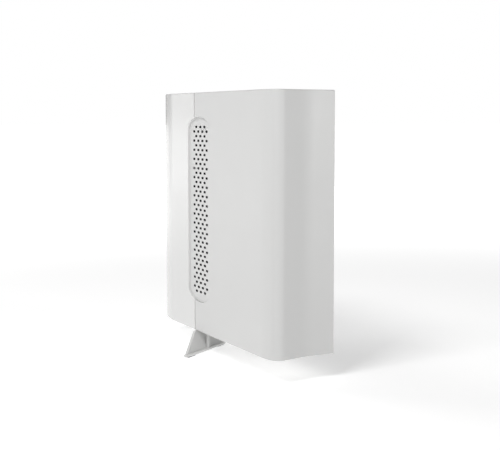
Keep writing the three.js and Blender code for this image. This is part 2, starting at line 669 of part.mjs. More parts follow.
function statusLight() {
  const inner = NOSE_X + WALL;
  return lightSlot(STATUS_LIGHT.width / 2, NOSE_X, inner + 1)
    .add(lightSlot(STATUS_LIGHT.width / 2 + 1.2, inner + GAP, inner + 1.8));
}

function lightBoard() {
  return box([NOSE_X + 7 + GAP, NOSE_X + 8.5], [STATUS_LIGHT.y - 6, STATUS_LIGHT.y + 4],
    [STATUS_LIGHT.z - 17, STATUS_LIGHT.z + 17])
    .add(box([NOSE_X + 5, NOSE_X + 8], [STATUS_LIGHT.y - 1.5, STATUS_LIGHT.y + 1.5],
      [STATUS_LIGHT.z - 1.5, STATUS_LIGHT.z + 1.5]));
}

// ---- antennas: thin boards bonded to the enclosure's inner faces ----------------------------
const ANTENNAS = {
  antenna_front_1: { x: 44, side: "front", z: TOP_Z - 46 },
  antenna_front_2: { x: 78, side: "front", z: TOP_Z - 46 },
  antenna_cover_1: { x: -52, side: "front", z: TOP_Z - 68 },
  antenna_cover_2: { x: -62, side: "rear", z: TOP_Z - 46 },
};

function antenna({ x, side, z }) {
  const y = side === "front" ? FRONT_Y + WALL + GAP : REAR_Y - WALL - GAP - 0.8;
  return box([x - 8, x + 8], [y, y + 0.8], [z - 28, z + 28]);
}

// ---- assembly ------------------------------------------------------------------------------
const group = new THREE.Group();
group.name = "wireless_router";
const put = (name, solid, material) => group.add(meshOf(name, solid, material()));

put("main_shell", mainShell(), shellPlastic);
put("end_cover", endCover(), coverPlastic);
put("seam_gasket", seamGasket(), rubber);
put("rear_panel", rearPanel(), shellPlastic);
put("port_bezel", portBezel(), darkPlastic);
put("vent_grille", ventGrille(), shellPlastic);
put("vent_screen", ventScreen(), darkPlastic);

put("leg_front", placeFrontLeg(legSolid(FRONT_LEG_LENGTH, FRONT_PADS)), shellPlastic);
put("leg_rear", placeRearLeg(legSolid(REAR_LEG_LENGTH, REAR_PADS)), shellPlastic);
FRONT_PADS.forEach((place, i) =>
  put(`leg_pad_front_${i + 1}`, placeFrontLeg(legPad(place)), rubber));
REAR_PADS.forEach((place, i) =>
  put(`leg_pad_rear_${i + 1}`, placeRearLeg(legPad(place)), rubber));
legScrewPlaces().forEach((place, i) => put(`leg_screw_${i + 1}`, legScrew(place), steel));
PANEL_SCREWS.forEach((place, i) => put(`panel_screw_${i + 1}`, panelScrew(place), steel));

put("main_board", mainBoard(), boardGreen);
BOARD_SCREWS.forEach((place, i) => put(`board_screw_${i + 1}`, boardScrew(place), steel));
put("processor", onBoard(SOC.x, SOC.z, SOC.side, SOC.side, SOC.thickness), chipBlack);
put("thermal_pad", onBoard(SOC.x, SOC.z, SOC.side - 1, SOC.side - 1, 1)
  .translate([0, -SOC.thickness - 0.2, 0]), rubber);
put("heatsink", heatsink(), aluminium);
heatsinkScrewPlaces().forEach((place, i) =>
  put(`heatsink_screw_${i + 1}`, heatsinkScrew(place), steel));
put("shield_can_1", shieldCan(46, CAN_Z[0], 36, 44), steel);
put("shield_can_2", shieldCan(46, CAN_Z[1], 36, 30), steel);
put("memory_chip_1", onBoard(-60, SOC.z + 8, 10, 13, 1.2), chipBlack);
put("memory_chip_2", onBoard(-60, SOC.z - 10, 10, 13, 1.2), chipBlack);
[52, 64, 76].forEach((x, i) =>
  put(`capacitor_${i + 1}`, bar("y", [x, CAN_Z[0] - 38], 4, BOARD.y0 - GAP - 11, BOARD.y0 - GAP, 20), chipBlack));
put("line_transformer", onBoard(16, BOARD.z0 + 26, 30, 14, 6), chipBlack);

Object.entries(SOCKETS).forEach(([name, x]) => put(name, networkSocket(x), darkPlastic));
put("dc_jack", dcJack(), darkPlastic);
put("power_button", powerButton(), darkPlastic);
put("power_switch", powerSwitch(), chipBlack);
put("reset_button", resetButton(), darkPlastic);
put("reset_switch", resetSwitch(), chipBlack);
put("pair_button", pairButton(), coverPlastic);
put("pair_board", pairBoard(), boardGreen);
put("pair_switch", pairSwitch(), chipBlack);
Object.entries(ANTENNAS).forEach(([name, place]) => put(name, antenna(place), boardGreen));
put("status_light", statusLight(), lightPipe);
put("light_board", lightBoard(), boardGreen);

export default group;
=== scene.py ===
"""An upright wireless router on two blade legs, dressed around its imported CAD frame.

Sizes are in millimetres inside the classes. Every mesh is turned to metres once, when its piece is made.
"""

from __future__ import annotations

import json
import logging
import math
from collections.abc import Iterable, Sequence
from dataclasses import dataclass, field
from enum import Enum
from typing import Protocol

import bmesh
import bpy
from mathutils import Matrix, Vector

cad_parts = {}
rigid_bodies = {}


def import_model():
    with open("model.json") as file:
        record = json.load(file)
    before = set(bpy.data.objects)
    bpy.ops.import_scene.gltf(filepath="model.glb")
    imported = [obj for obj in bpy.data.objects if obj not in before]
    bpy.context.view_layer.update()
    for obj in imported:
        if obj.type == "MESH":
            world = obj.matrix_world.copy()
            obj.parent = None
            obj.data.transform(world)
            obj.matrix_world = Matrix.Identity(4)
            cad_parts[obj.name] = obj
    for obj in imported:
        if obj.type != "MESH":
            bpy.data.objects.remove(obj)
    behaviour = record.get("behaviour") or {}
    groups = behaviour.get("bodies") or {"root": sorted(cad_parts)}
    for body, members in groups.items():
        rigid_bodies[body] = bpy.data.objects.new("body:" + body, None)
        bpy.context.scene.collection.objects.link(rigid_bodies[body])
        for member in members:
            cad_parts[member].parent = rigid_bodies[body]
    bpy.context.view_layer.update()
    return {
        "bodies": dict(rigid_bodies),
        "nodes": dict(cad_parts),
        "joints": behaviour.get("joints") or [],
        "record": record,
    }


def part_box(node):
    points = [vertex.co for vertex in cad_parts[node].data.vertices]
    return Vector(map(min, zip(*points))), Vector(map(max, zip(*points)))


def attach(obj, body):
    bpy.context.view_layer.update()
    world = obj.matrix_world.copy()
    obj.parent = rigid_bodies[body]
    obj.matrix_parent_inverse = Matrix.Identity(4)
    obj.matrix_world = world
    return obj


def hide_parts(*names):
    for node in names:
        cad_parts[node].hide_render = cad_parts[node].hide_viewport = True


LOG = logging.getLogger("router")
MM = 0.001
Point = tuple[float, float]
Profile = list[Point]


class Body(Enum):
    """The frame's bodies that the new pieces ride on."""

    ROUTER = "router"
    POWER_CAP = "power_cap"
    PAIR_CAP = "pair_cap"


class Slot(Enum):
    """The record's material slots, listed with each new piece; Piece.make does not apply them."""

    SHELL = "shell_plastic"
    COVER = "cover_plastic"
    DARK = "dark_plastic"
    STEEL = "steel"
    LIGHT = "light_pipe"


class Axis(Enum):
    """The direction in which a plan is pushed."""

    X = "x"
    Y = "y"
    Z = "z"

    def place(self, u: float, v: float, along: float) -> Vector:
        """Puts a plan point and its travel into X, Y, Z."""
        if self is Axis.X:
            return Vector((along, u, v))
        if self is Axis.Y:
            return Vector((u, along, v))
        return Vector((u, v, along))


class Cut(Enum):
    """What a tool does to the solid it meets."""

    ADD = "UNION"
    KEEP = "INTERSECT"
    REMOVE = "DIFFERENCE"


# ---- nodes and colours ---------------------------------------------------------------------


def linear(code: str) -> tuple[float, float, float, float]:
    """Turns an sRGB hex colour to linear RGBA.

    Args:
        code: Six hex digits.

    Returns:
        The linear red, green, blue and a full alpha.
    """
    channels = [int(code[i : i + 2], 16) / 255 for i in (0, 2, 4)]
    curve = [c / 12.92 if c <= 0.04045 else ((c + 0.055) / 1.055) ** 2.4 for c in channels]
    return (curve[0], curve[1], curve[2], 1.0)


def direction(heading: float, rise: float) -> Vector:
    """The unit vector at a heading from +X and a rise above the floor, both in degrees."""
    turn, lift = math.radians(heading), math.radians(rise)
    return Vector((math.cos(turn) * math.cos(lift), math.sin(turn) * math.cos(lift), math.sin(lift)))


def add(
    tree: bpy.types.NodeTree,
    kind: str,
    settings: dict[str, object] | None = None,
    values: dict[str | int, object] | None = None,
    links: dict[str | int, tuple[bpy.types.Node, str | int]] | None = None,
) -> bpy.types.Node:
    """Adds one node with its settings and links.

    Args:
        tree: The tree that gets the node.
        kind: The node's type name.
        settings: Attributes of the node itself.
        values: Input sockets and the constants they hold.
        links: Input sockets and the (node, output) each is fed from.

    Returns:
        The new node.
    """
    node = tree.nodes.new(kind)
    for key, value in (settings or {}).items():
        setattr(node, key, value)
    for key, value in (values or {}).items():
        node.inputs[key].default_value = value
    for key, (source, output) in (links or {}).items():
        tree.links.new(source.outputs[output], node.inputs[key])
    return node


# ---- finishes ------------------------------------------------------------------------------


@dataclass(frozen=True)
class Finish:
    """A surface: its colour, gloss and the fine relief left by how it was made."""

    NOISE_SPAN = (0.3, 0.7)  # cloudy noise seldom leaves this span

    name: str
    colour: str
    shade: str  # the colour's slow drift over the piece
    roughness: float
    gloss_drift: float = 0.04  # how far roughness wanders either way
    metallic: float = 0.0
    ior: float = 1.5
    drift_mm: float = 60.0  # size of the slow colour patches
    grain_mm: float = 0.6  # size of the relief
    relief_mm: float = 0.004  # height of the relief
    coat: float = 0.0
    coat_roughness: float = 0.12
    transmission: float = 0.0
    stretch: tuple[float, float, float] = (1.0, 1.0, 1.0)

    def material(self) -> bpy.types.Material:
        """Makes the node material, or returns the one already made."""
        known = bpy.data.materials.get(self.name)
        if known:
            return known
        made = bpy.data.materials.new(self.name)
        made.use_nodes = True
        tree = made.node_tree
        tree.nodes.clear()
        place = add(tree, "ShaderNodeTexCoord")
        frame = add(
            tree,
            "ShaderNodeMapping",
            values={"Scale": self.stretch},
            links={"Vector": (place, "Object")},
        )
        tint = self.tint(tree, frame)
        drift = self.noise(tree, frame, self.drift_mm / 3, 3.0)
        gloss = add(
            tree,
            "ShaderNodeMapRange",
            values={
                "From Min": self.NOISE_SPAN[0],
                "From Max": self.NOISE_SPAN[1],
                "To Min": self.roughness - self.gloss_drift,
                "To Max": self.roughness + self.gloss_drift,
            },
            links={"Value": (drift, 0)},
        )
        grain = self.grain(tree, frame)
        bump = add(
            tree,
            "ShaderNodeBump",
            values={"Strength": 1.0, "Distance": self.relief_mm * MM},
            links={"Height": (grain, 0)},
        )
        shader = add(
            tree,
            "ShaderNodeBsdfPrincipled",
            values={
                "Metallic": self.metallic,
                "IOR": self.ior,
                "Coat Weight": self.coat,
                "Coat Roughness": self.coat_roughness,
                "Transmission Weight": self.transmission,
            },
            links={"Base Color": (tint, self.tint_output()), "Roughness": (gloss, 0), "Normal": (bump, 0)},
        )
        add(tree, "ShaderNodeOutputMaterial", links={"Surface": (shader, 0)})
        made.diffuse_color = linear(self.colour)
        return made

    @staticmethod
    def noise(
        tree: bpy.types.NodeTree, frame: bpy.types.Node, size_mm: float, detail: float
    ) -> bpy.types.Node:
        """Adds cloudy noise whose features measure about size_mm.

        Args:
            tree: The material's tree.
            frame: The node that gives the coordinates.
            size_mm: Feature size in millimetres.
            detail: Octaves of finer noise.

        Returns:
            The noise node.
        """
        return add(
            tree,
            "ShaderNodeTexNoise",
            values={"Scale": 1 / (size_mm * MM), "Detail": detail, "Roughness": 0.5},
            links={"Vector": (frame, 0)},
        )

    def tint_output(self) -> str:
        """Names the output of tint's last node."""
        return "Result"

    def tint(self, tree: bpy.types.NodeTree, frame: bpy.types.Node) -> bpy.types.Node:
        """Adds the slow drift between the two colours.

        Args:
            tree: The material's tree.
            frame: The node that gives the coordinates.

        Returns:
            The node whose colour goes to the shader.
        """
        clouds = self.noise(tree, frame, self.drift_mm, 2.0)
        mix = add(tree, "ShaderNodeMix", {"data_type": "RGBA"}, links={"Factor": (clouds, 0)})
        for socket in mix.inputs:
            if socket.type == "RGBA":
                socket.default_value = linear(self.colour if socket.name == "A" else self.shade)
        return mix

    def grain(self, tree: bpy.types.NodeTree, frame: bpy.types.Node) -> bpy.types.Node:
        """Adds the fine relief.

        Args:
            tree: The material's tree.
            frame: The node that gives the coordinates.

        Returns:
            The node whose first output is a height.
        """
        return self.noise(tree, frame, self.grain_mm, 3.0)


@dataclass(frozen=True)
class Laminate(Finish):
    """Circuit board: copper tracks under lacquer, drawn as lines between straight-edged cells."""

    cell_mm: float = 2.4
    track_share: float = 0.08  # half a track's width, as a share of a cell

    def tint(self, tree: bpy.types.NodeTree, frame: bpy.types.Node) -> bpy.types.Node:
        """Adds tracks a little lighter than the lacquer between them.

        Args:
            tree: The material's tree.
            frame: The node that gives the coordinates.

        Returns:
            The node whose colour goes to the shader.
        """
        tracks = add(
            tree,
            "ShaderNodeTexVoronoi",
            {"feature": "DISTANCE_TO_EDGE", "distance": "EUCLIDEAN"},
            {"Scale": 1 / (self.cell_mm * MM), "Randomness": 0.6},
            {"Vector": (frame, 0)},
        )
        ramp = add(tree, "ShaderNodeValToRGB", links={"Fac": (tracks, 0)})
        ramp.color_ramp.interpolation = "CONSTANT"
        ramp.color_ramp.elements[0].color = linear(self.shade)
        ramp.color_ramp.elements[1].color = linear(self.colour)
        ramp.color_ramp.elements[1].position = self.track_share
        return ramp

    def tint_output(self) -> str:
        """Names the output of tint's last node."""
        return "Color"


# ABS, moulded in a spark-eroded mould: an even, soft satin with a relief too fine to see singly.
# The relief is drawn 0.5 mm wide where the real one is about 0.1 mm, so that it shows at all.
SHELL_ABS = Finish(
    "moulded_abs_satin_white", "dcdcdb", "dadad9", roughness=0.36, grain_mm=0.5, relief_mm=0.0035
)
# PC and ABS blend from a polished mould: brighter white, glossy, with a faint long ripple.
COVER_GLOSS = Finish(
    "moulded_pc_abs_gloss_white", "e6e6e5", "e4e4e3", roughness=0.17, gloss_drift=0.02,
    grain_mm=9.0, relief_mm=0.006,
)
# The same ABS on the vent plate, a touch lighter and duller with its finer mould texture.
GRILLE_ABS = Finish(
    "moulded_abs_vent_white", "dededd", "dbdbda", roughness=0.42, grain_mm=0.5, relief_mm=0.004
)
# Painted shade on the walls of the vent's small holes: a dark colour that stands in for the shade inside
# each hole, so that each one reads as a hole from afar.
PAINTED_HOLE_SHADE = Finish(
    "painted_shade_hole_wall", "252628", "1f2021", roughness=0.7, grain_mm=0.4, relief_mm=0.004
)
# ABS in dark grey with a coarse matt mould texture: sockets and their frame.
DARK_ABS = Finish(
    "moulded_abs_matt_grey", "3a3c3f", "35373a", roughness=0.52, grain_mm=0.4, relief_mm=0.01
)
# Thermoplastic elastomer, moulded: soft grey, nearly without gloss.
TPE_GREY = Finish(
    "moulded_tpe_grey", "77797b", "6f7173", roughness=0.8, grain_mm=0.8, relief_mm=0.012
)
# Zinc-plated steel screws: a cool, slightly cloudy shine.
ZINC_STEEL = Finish(
    "zinc_plated_steel", "b9bcc0", "a9adb3", roughness=0.3, metallic=1.0, drift_mm=3.0,
    grain_mm=0.3, relief_mm=0.003,
)
# Gold-plated bronze spring contacts.
GOLD_CONTACT = Finish(
    "gold_plated_bronze", "d9a441", "c8923a", roughness=0.22, metallic=1.0, drift_mm=2.0,
    grain_mm=0.3, relief_mm=0.001,
)
# Extruded aluminium: fine lines along the extrusion.
EXTRUDED_ALUMINIUM = Finish(
    "extruded_aluminium", "c4c7cb", "b5b9be", roughness=0.36, metallic=1.0, grain_mm=0.3,
    relief_mm=0.006, stretch=(1.0, 1.0, 0.02),
)
# FR4 glass laminate under green solder lacquer.
BOARD_FR4 = Laminate(
    "fr4_laminate_green", "1b5537", "2d6d48", roughness=0.36, grain_mm=0.5, relief_mm=0.004, coat=0.3
)
# Epoxy moulding compound of chips and coils: black, finely pitted.
CHIP_EPOXY = Finish(
    "moulded_epoxy_black", "202124", "1a1b1d", roughness=0.58, grain_mm=0.25, relief_mm=0.01
)
# Woven nylon dust screen behind the vent, as good as black in its recess.
NYLON_SCREEN = Finish(
    "woven_nylon_black", "1d1e20", "141516", roughness=0.85, grain_mm=0.5, relief_mm=0.05
)
# Polycarbonate light guide: milky, smooth.
LIGHT_GUIDE = Finish(
    "moulded_polycarbonate_milky", "eef1f4", "e6eaee", roughness=0.18, ior=1.58, grain_mm=4.0,
    relief_mm=0.002, transmission=0.25,
)


# ---- plans ---------------------------------------------------------------------------------


class Plan(Protocol):
    """A closed outline that can be drawn smaller or, with a negative inset, larger."""

    def points(self, inset: float) -> list[Point]:
        """Returns the outline moved inwards by inset, always with the same number of points."""
        ...


@dataclass
class Walk:
    """Draws an outline by walking: straights, and arcs that turn left (+) or right (-)."""

    x: float
    y: float
    heading: float  # degrees
    track: list[Point] = field(default_factory=list)

    def straight(self, length: float) -> Walk:
        """Walks straight on.

        Args:
            length: The distance to go.

        Returns:
            This walk.
        """
        angle = math.radians(self.heading)
        self.x += length * math.cos(angle)
        self.y += length * math.sin(angle)
        self.track.append((self.x, self.y))
        return self

    def run(self, length: float, ease: float = 0.5) -> Walk:
        """Walks a straight side with a point close to each end, so that its shading stays flat."""
        return self.straight(ease).straight(length - 2 * ease).straight(ease)

    def until_x(self, x: float) -> Walk:
        """Walks a straight side until it reaches x."""
        return self.run((x - self.x) / math.cos(math.radians(self.heading)))

    def until_y(self, y: float) -> Walk:
        """Walks a straight side until it reaches y."""
        return self.run((y - self.y) / math.sin(math.radians(self.heading)))

    def arc(self, radius: float, sweep: float, steps: int) -> Walk:
        """Walks round a bend.

        Args:
            radius: The bend's radius.
            sweep: Degrees turned, positive to the left.
            steps: Chords along the bend.

        Returns:
            This walk.
        """
        chord = 2 * radius * math.sin(math.radians(abs(sweep) / steps / 2))
        for _ in range(steps):
            self.heading += sweep / steps / 2
            self.straight(chord)
            self.heading += sweep / steps / 2
        return self


@dataclass(frozen=True)
class RoundRect:
    """A rectangle with rounded corners, centred at (u, v)."""

    u: float
    v: float
    width: float
    height: float
    radius: float
    steps: int = 6

    def points(self, inset: float) -> list[Point]:
        """Returns the outline moved inwards by inset."""
        radius = max(self.radius - inset, 0.02)
        half_u = self.width / 2 - inset - radius
        half_v = self.height / 2 - inset - radius
        track = []
        for quarter, (su, sv) in enumerate(((1, 1), (-1, 1), (-1, -1), (1, -1))):
            for step in range(self.steps + 1):
                angle = math.radians(90 * (quarter + step / self.steps))
                track.append(
                    (
                        self.u + su * half_u + radius * math.cos(angle),
                        self.v + sv * half_v + radius * math.sin(angle),
                    )
                )
        return track


@dataclass(frozen=True)
class Disc:
    """A circle."""

    u: float
    v: float
    radius: float
    sides: int = 48

    def points(self, inset: float) -> list[Point]:
        """Returns the outline moved inwards by inset."""
        turn = 2 * math.pi / self.sides
        radius = self.radius - inset
        return [
            (self.u + radius * math.cos(i * turn), self.v + radius * math.sin(i * turn))
            for i in range(self.sides)
        ]


@dataclass(frozen=True)
class Facets:
    """A convex polygon, anticlockwise, with softened corners."""

    corners: tuple[Point, ...]
    radius: float = 0.0
    steps: int = 4

    def points(self, inset: float) -> list[Point]:
        """Returns the outline moved inwards by inset."""
        count = len(self.corners)
        track = []
        for i in range(count):
            before, here, after = (Vector(self.corners[(i + k) % count]) for k in (-1, 0, 1))
            arrive = (here - before).normalized()
            leave = (after - here).normalized()
            turn = math.atan2(arrive.cross(leave), arrive.dot(leave))
            reach = self.radius / math.cos(turn / 2)
            inward = (leave - arrive).normalized()
            centre = here + inward * reach
            radius = self.radius - inset
            start = math.atan2(-arrive.x, arrive.y)
            for step in range(self.steps + 1):
                angle = start + turn * step / self.steps
                track.append((centre.x + radius * math.cos(angle), centre.y + radius * math.sin(angle)))
        return track


# ---- solids --------------------------------------------------------------------------------


def edge_curve(radius: float, steps: int) -> Profile:
    """A quarter round at the end of a push.

    Args:
        radius: Positive rounds the solid's edge, negative flares it as a fillet round a hole's rim.
        steps: Chords along the curve.

    Returns:
        Pairs of travel from the end and inset.
    """
    if radius == 0:
        return [(0.0, 0.0)]
    quarter = [math.pi / 2 * i / steps for i in range(steps + 1)]
    return [(abs(radius) * (1 - math.cos(t)), radius * (1 - math.sin(t))) for t in quarter]


def rounded(lo: float, hi: float, at_lo: float = 0.0, at_hi: float = 0.0, steps: int = 5) -> Profile:
    """The profile of a solid pushed from lo to hi.

    Args:
        lo: Where it starts.
        hi: Where it ends.
        at_lo: Edge radius at the start, negative to flare.
        at_hi: Edge radius at the end, negative to flare.
        steps: Chords on each edge curve.

    Returns:
        Pairs of position and inset.
    """
    start = [(lo + travel, inset) for travel, inset in edge_curve(at_lo, steps)]
    end = [(hi - travel, inset) for travel, inset in edge_curve(at_hi, steps)]
    return start + end[::-1]


def push(plan: Plan, axis: Axis, profile: Profile) -> bmesh.types.BMesh:
    """Pushes a plan along an axis, following a profile of positions and insets.

    Args:
        plan: The outline.
        axis: The direction of the push.
        profile: Pairs of position and inset, in order.

    Returns:
        A closed solid.
    """
    solid = bmesh.new()
    rings = [
        [solid.verts.new(axis.place(u, v, along)) for u, v in plan.points(inset)]
        for along, inset in profile
    ]
    for one, two in zip(rings, rings[1:]):
        for i, vert in enumerate(one):
            j = (i + 1) % len(one)
            solid.faces.new((vert, one[j], two[j], two[i]))
    solid.faces.new(rings[0][::-1])
    solid.faces.new(rings[-1])
    bmesh.ops.recalc_face_normals(solid, faces=solid.faces)
    return solid


def scratch_object(solid: bmesh.types.BMesh) -> bpy.types.Object:
    """Turns a solid into a linked object and frees the solid."""
    mesh = bpy.data.meshes.new("scratch")
    solid.to_mesh(mesh)
    solid.free()
    thing = bpy.data.objects.new("scratch", mesh)
    bpy.context.scene.collection.objects.link(thing)
    return thing


def plain_mesh(thing: bpy.types.Object) -> bpy.types.Mesh:
    """The object's mesh with its modifiers applied."""
    graph = bpy.context.evaluated_depsgraph_get()
    return bpy.data.meshes.new_from_object(thing.evaluated_get(graph))


def discard(things: Iterable[bpy.types.Object]) -> None:
    """Removes scratch objects with their meshes."""
    for thing in things:
        mesh = thing.data
        bpy.data.objects.remove(thing)
        if mesh and not mesh.users:
            bpy.data.meshes.remove(mesh)


def carve(base: bmesh.types.BMesh, *steps: tuple[Cut, bmesh.types.BMesh]) -> bmesh.types.BMesh:
    """Works a solid with tools, one after another.

    Args:
        base: The solid, used up.
        *steps: What to do and the tool, also used up.

    Returns:
        The worked solid.
    """
    thing = scratch_object(base)
    tools = []
    for cut, tool in steps:
        tools.append(scratch_object(tool))
        modifier = thing.modifiers.new("cut", "BOOLEAN")
        modifier.operation = cut.value
        modifier.solver = "EXACT"
        modifier.object = tools[-1]
    mesh = plain_mesh(thing)
    result = bmesh.new()
    result.from_mesh(mesh)
    bpy.data.meshes.remove(mesh)
    discard([thing, *tools])
    bmesh.ops.remove_doubles(result, verts=result.verts, dist=0.0005)
    return result


def merged(*solids: bmesh.types.BMesh) -> bmesh.types.BMesh:
    """Lays solids side by side in one mesh, without cutting them.

    Args:
        *solids: The solids, used up; their faces keep their material numbers.

    Returns:
        One mesh.
    """
    result = bmesh.new()
    for solid in solids:
        mesh = bpy.data.meshes.new("scratch")
        solid.to_mesh(mesh)
        solid.free()
        result.from_mesh(mesh)
        bpy.data.meshes.remove(mesh)
    return result


def painted(solid: bmesh.types.BMesh, index: int) -> bmesh.types.BMesh:
    """Gives every face of a solid one material number."""
    for face in solid.faces:
        face.material_index = index
    return solid


@dataclass
class Piece:
    """A visible piece: its mesh, finishes, and what it stands for in the frame."""

    name: str
    solid: bmesh.types.BMesh
    finishes: Sequence[Finish]
    body: Body
    slot: Slot
    stands_for: Sequence[str] = ()
    sharp: float = 32.0  # degrees above which an edge stays crisp

    def make(self) -> bpy.types.Object:
        """Makes the object in metres, shades it and ties it to the frame."""
        self.solid.transform(Matrix.Scale(MM, 4))
        for face in self.solid.faces:
            face.smooth = True
        thing = scratch_object(self.solid)
        for finish in self.finishes:
            thing.data.materials.append(finish.material())
        thing.data.set_sharp_from_angle(angle=math.radians(self.sharp))
        even = thing.modifiers.new("even_normals", "WEIGHTED_NORMAL")
        even.keep_sharp = True
        even.weight = 100
        mesh = plain_mesh(thing)
        discard([thing])
        mesh.name = self.name
        piece = bpy.data.objects.new(self.name, mesh)
        bpy.context.scene.collection.objects.link(piece)
        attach(piece, self.body.value)
        if self.stands_for:
            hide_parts(*self.stands_for)
        LOG.info("%s: %d faces", self.name, len(mesh.polygons))
        return piece


# ---- repeated pieces -----------------------------------------------------------------------


def set_shapes(
    tree: bpy.types.NodeTree,
    given: bpy.types.Node,
    finish: Finish,
    links: dict[str | int, tuple[bpy.types.Node, str | int]],
) -> None:
    """Ends a tree: the given shape on every point, as real faces in one finish.

    Args:
        tree: The geometry node tree.
        given: Its input node, with a Shape.
        finish: The finish of the result.
        links: What feeds the points and, if they turn, their rotation.
    """
    shape = add(tree, "GeometryNodeObjectInfo", links={"Object": (given, "Shape")})
    placed = add(
        tree, "GeometryNodeInstanceOnPoints", links={**links, "Instance": (shape, "Geometry")}
    )
    real = add(tree, "GeometryNodeRealizeInstances", links={"Geometry": (placed, 0)})
    dressed = add(
        tree,
        "GeometryNodeSetMaterial",
        values={"Material": finish.material()},
        links={"Geometry": (real, 0)},
    )
    add(tree, "NodeGroupOutput", links={"Geometry": (dressed, 0)})


def grow(
    tree: bpy.types.NodeTree, holder: bpy.types.Object, values: dict[str, object]
) -> bmesh.types.BMesh:
    """Runs a tree on an object and takes what it makes.

    Args:
        tree: The geometry node tree.
        holder: The object it runs on, used up.
        values: The tree's named inputs; the Shape is used up too.

    Returns:
        One mesh that holds every copy.
    """
    modifier = holder.modifiers.new(tree.name, "NODES")
    modifier.node_group = tree
    for item in tree.interface.items_tree:
        if item.in_out == "INPUT" and item.name in values:
            modifier[item.identifier] = values[item.name]
    mesh = plain_mesh(holder)
    holder.modifiers.clear()
    result = bmesh.new()
    result.from_mesh(mesh)
    discard([holder, values["Shape"]])
    return result


@dataclass(frozen=True)
class Lattice:
    """Rows of one shape on an upright face; every second row may be shifted and longer by one."""

    u: float  # centre of the field
    v: float
    rows: int
    columns: int  # in the first row
    row_pitch: float
    column_pitch: float
    staggered: bool = False

    SIZES = ("Row pitch", "Column pitch", "Centre X", "Centre Z")
    COUNTS = ("Long rows", "Short rows", "Long columns", "Short columns")

    def tree(self, finish: Finish) -> bpy.types.NodeTree:
        """Builds the tree: two grids of points, the shape on each point, then real faces.

        Args:
            finish: The finish set on the result.

        Returns:
            The geometry node tree.
        """
        tree = bpy.data.node_groups.new("lattice", "GeometryNodeTree")
        tree.is_modifier = True
        face = tree.interface
        face.new_socket("Shape", in_out="INPUT", socket_type="NodeSocketObject")
        for name in self.SIZES:
            face.new_socket(name, in_out="INPUT", socket_type="NodeSocketFloat")
        for name in self.COUNTS:
            face.new_socket(name, in_out="INPUT", socket_type="NodeSocketInt")
        face.new_socket("Geometry", in_out="OUTPUT", socket_type="NodeSocketGeometry")
        given = add(tree, "NodeGroupInput")
        grids = [self.grid(tree, given, kind) for kind in ("Long", "Short")]
        points = add(tree, "GeometryNodeJoinGeometry")
        for grid in grids:
            tree.links.new(grid.outputs["Mesh"], points.inputs[0])
        centre = add(
            tree,
            "ShaderNodeCombineXYZ",
            links={"X": (given, "Centre X"), "Z": (given, "Centre Z")},
        )
        stood = add(
            tree,
            "GeometryNodeTransform",
            values={"Rotation": (math.pi / 2, 0.0, 0.0)},
            links={"Geometry": (points, 0), "Translation": (centre, 0)},
        )
        set_shapes(tree, given, finish, {"Points": (stood, 0)})
        return tree

    @staticmethod
    def grid(tree: bpy.types.NodeTree, given: bpy.types.Node, kind: str) -> bpy.types.Node:
        """Adds one grid of points, spaced two rows apart where rows alternate.

        Args:
            tree: The lattice tree.
            given: Its input node.
            kind: "Long" or "Short", naming the counts it reads.

        Returns:
            The node whose points are the grid, none where a count is 0.
        """
        spans = []
        for count, pitch in ((f"{kind} columns", "Column pitch"), (f"{kind} rows", "Row pitch")):
            gaps = add(
                tree, "ShaderNodeMath", {"operation": "SUBTRACT"}, {1: 1.0}, {0: (given, count)}
            )
            spans.append(
                add(
                    tree,
                    "ShaderNodeMath",
                    {"operation": "MULTIPLY"},
                    links={0: (gaps, 0), 1: (given, pitch)},
                )
            )
        return add(
            tree,
            "GeometryNodeMeshGrid",
            links={
                "Size X": (spans[0], 0),
                "Size Y": (spans[1], 0),
                "Vertices X": (given, f"{kind} columns"),
                "Vertices Y": (given, f"{kind} rows"),
            },
        )

    def spread(self, shape: bmesh.types.BMesh, finish: Finish) -> bmesh.types.BMesh:
        """Repeats a shape over the field.

        Args:
            shape: The shape, drawn round X = 0 and Z = 0, used up.
            finish: The finish of the result.

        Returns:
            One mesh that holds every copy.
        """
        step = 2 if self.staggered else 1
        short_rows = (self.rows + 1) // 2 if self.staggered else self.rows
        long_rows = self.rows // 2 if self.staggered else 0
        holder = scratch_object(bmesh.new())
        seed = scratch_object(shape)
        values = {
            "Shape": seed,
            "Row pitch": self.row_pitch * step,
            "Column pitch": self.column_pitch,
            "Centre X": self.u,
            "Centre Z": self.v,
            "Long rows": long_rows,
            "Short rows": short_rows,
            "Long columns": self.columns + 1 if self.staggered else 0,
            "Short columns": self.columns,
        }
        return grow(self.tree(finish), holder, values)


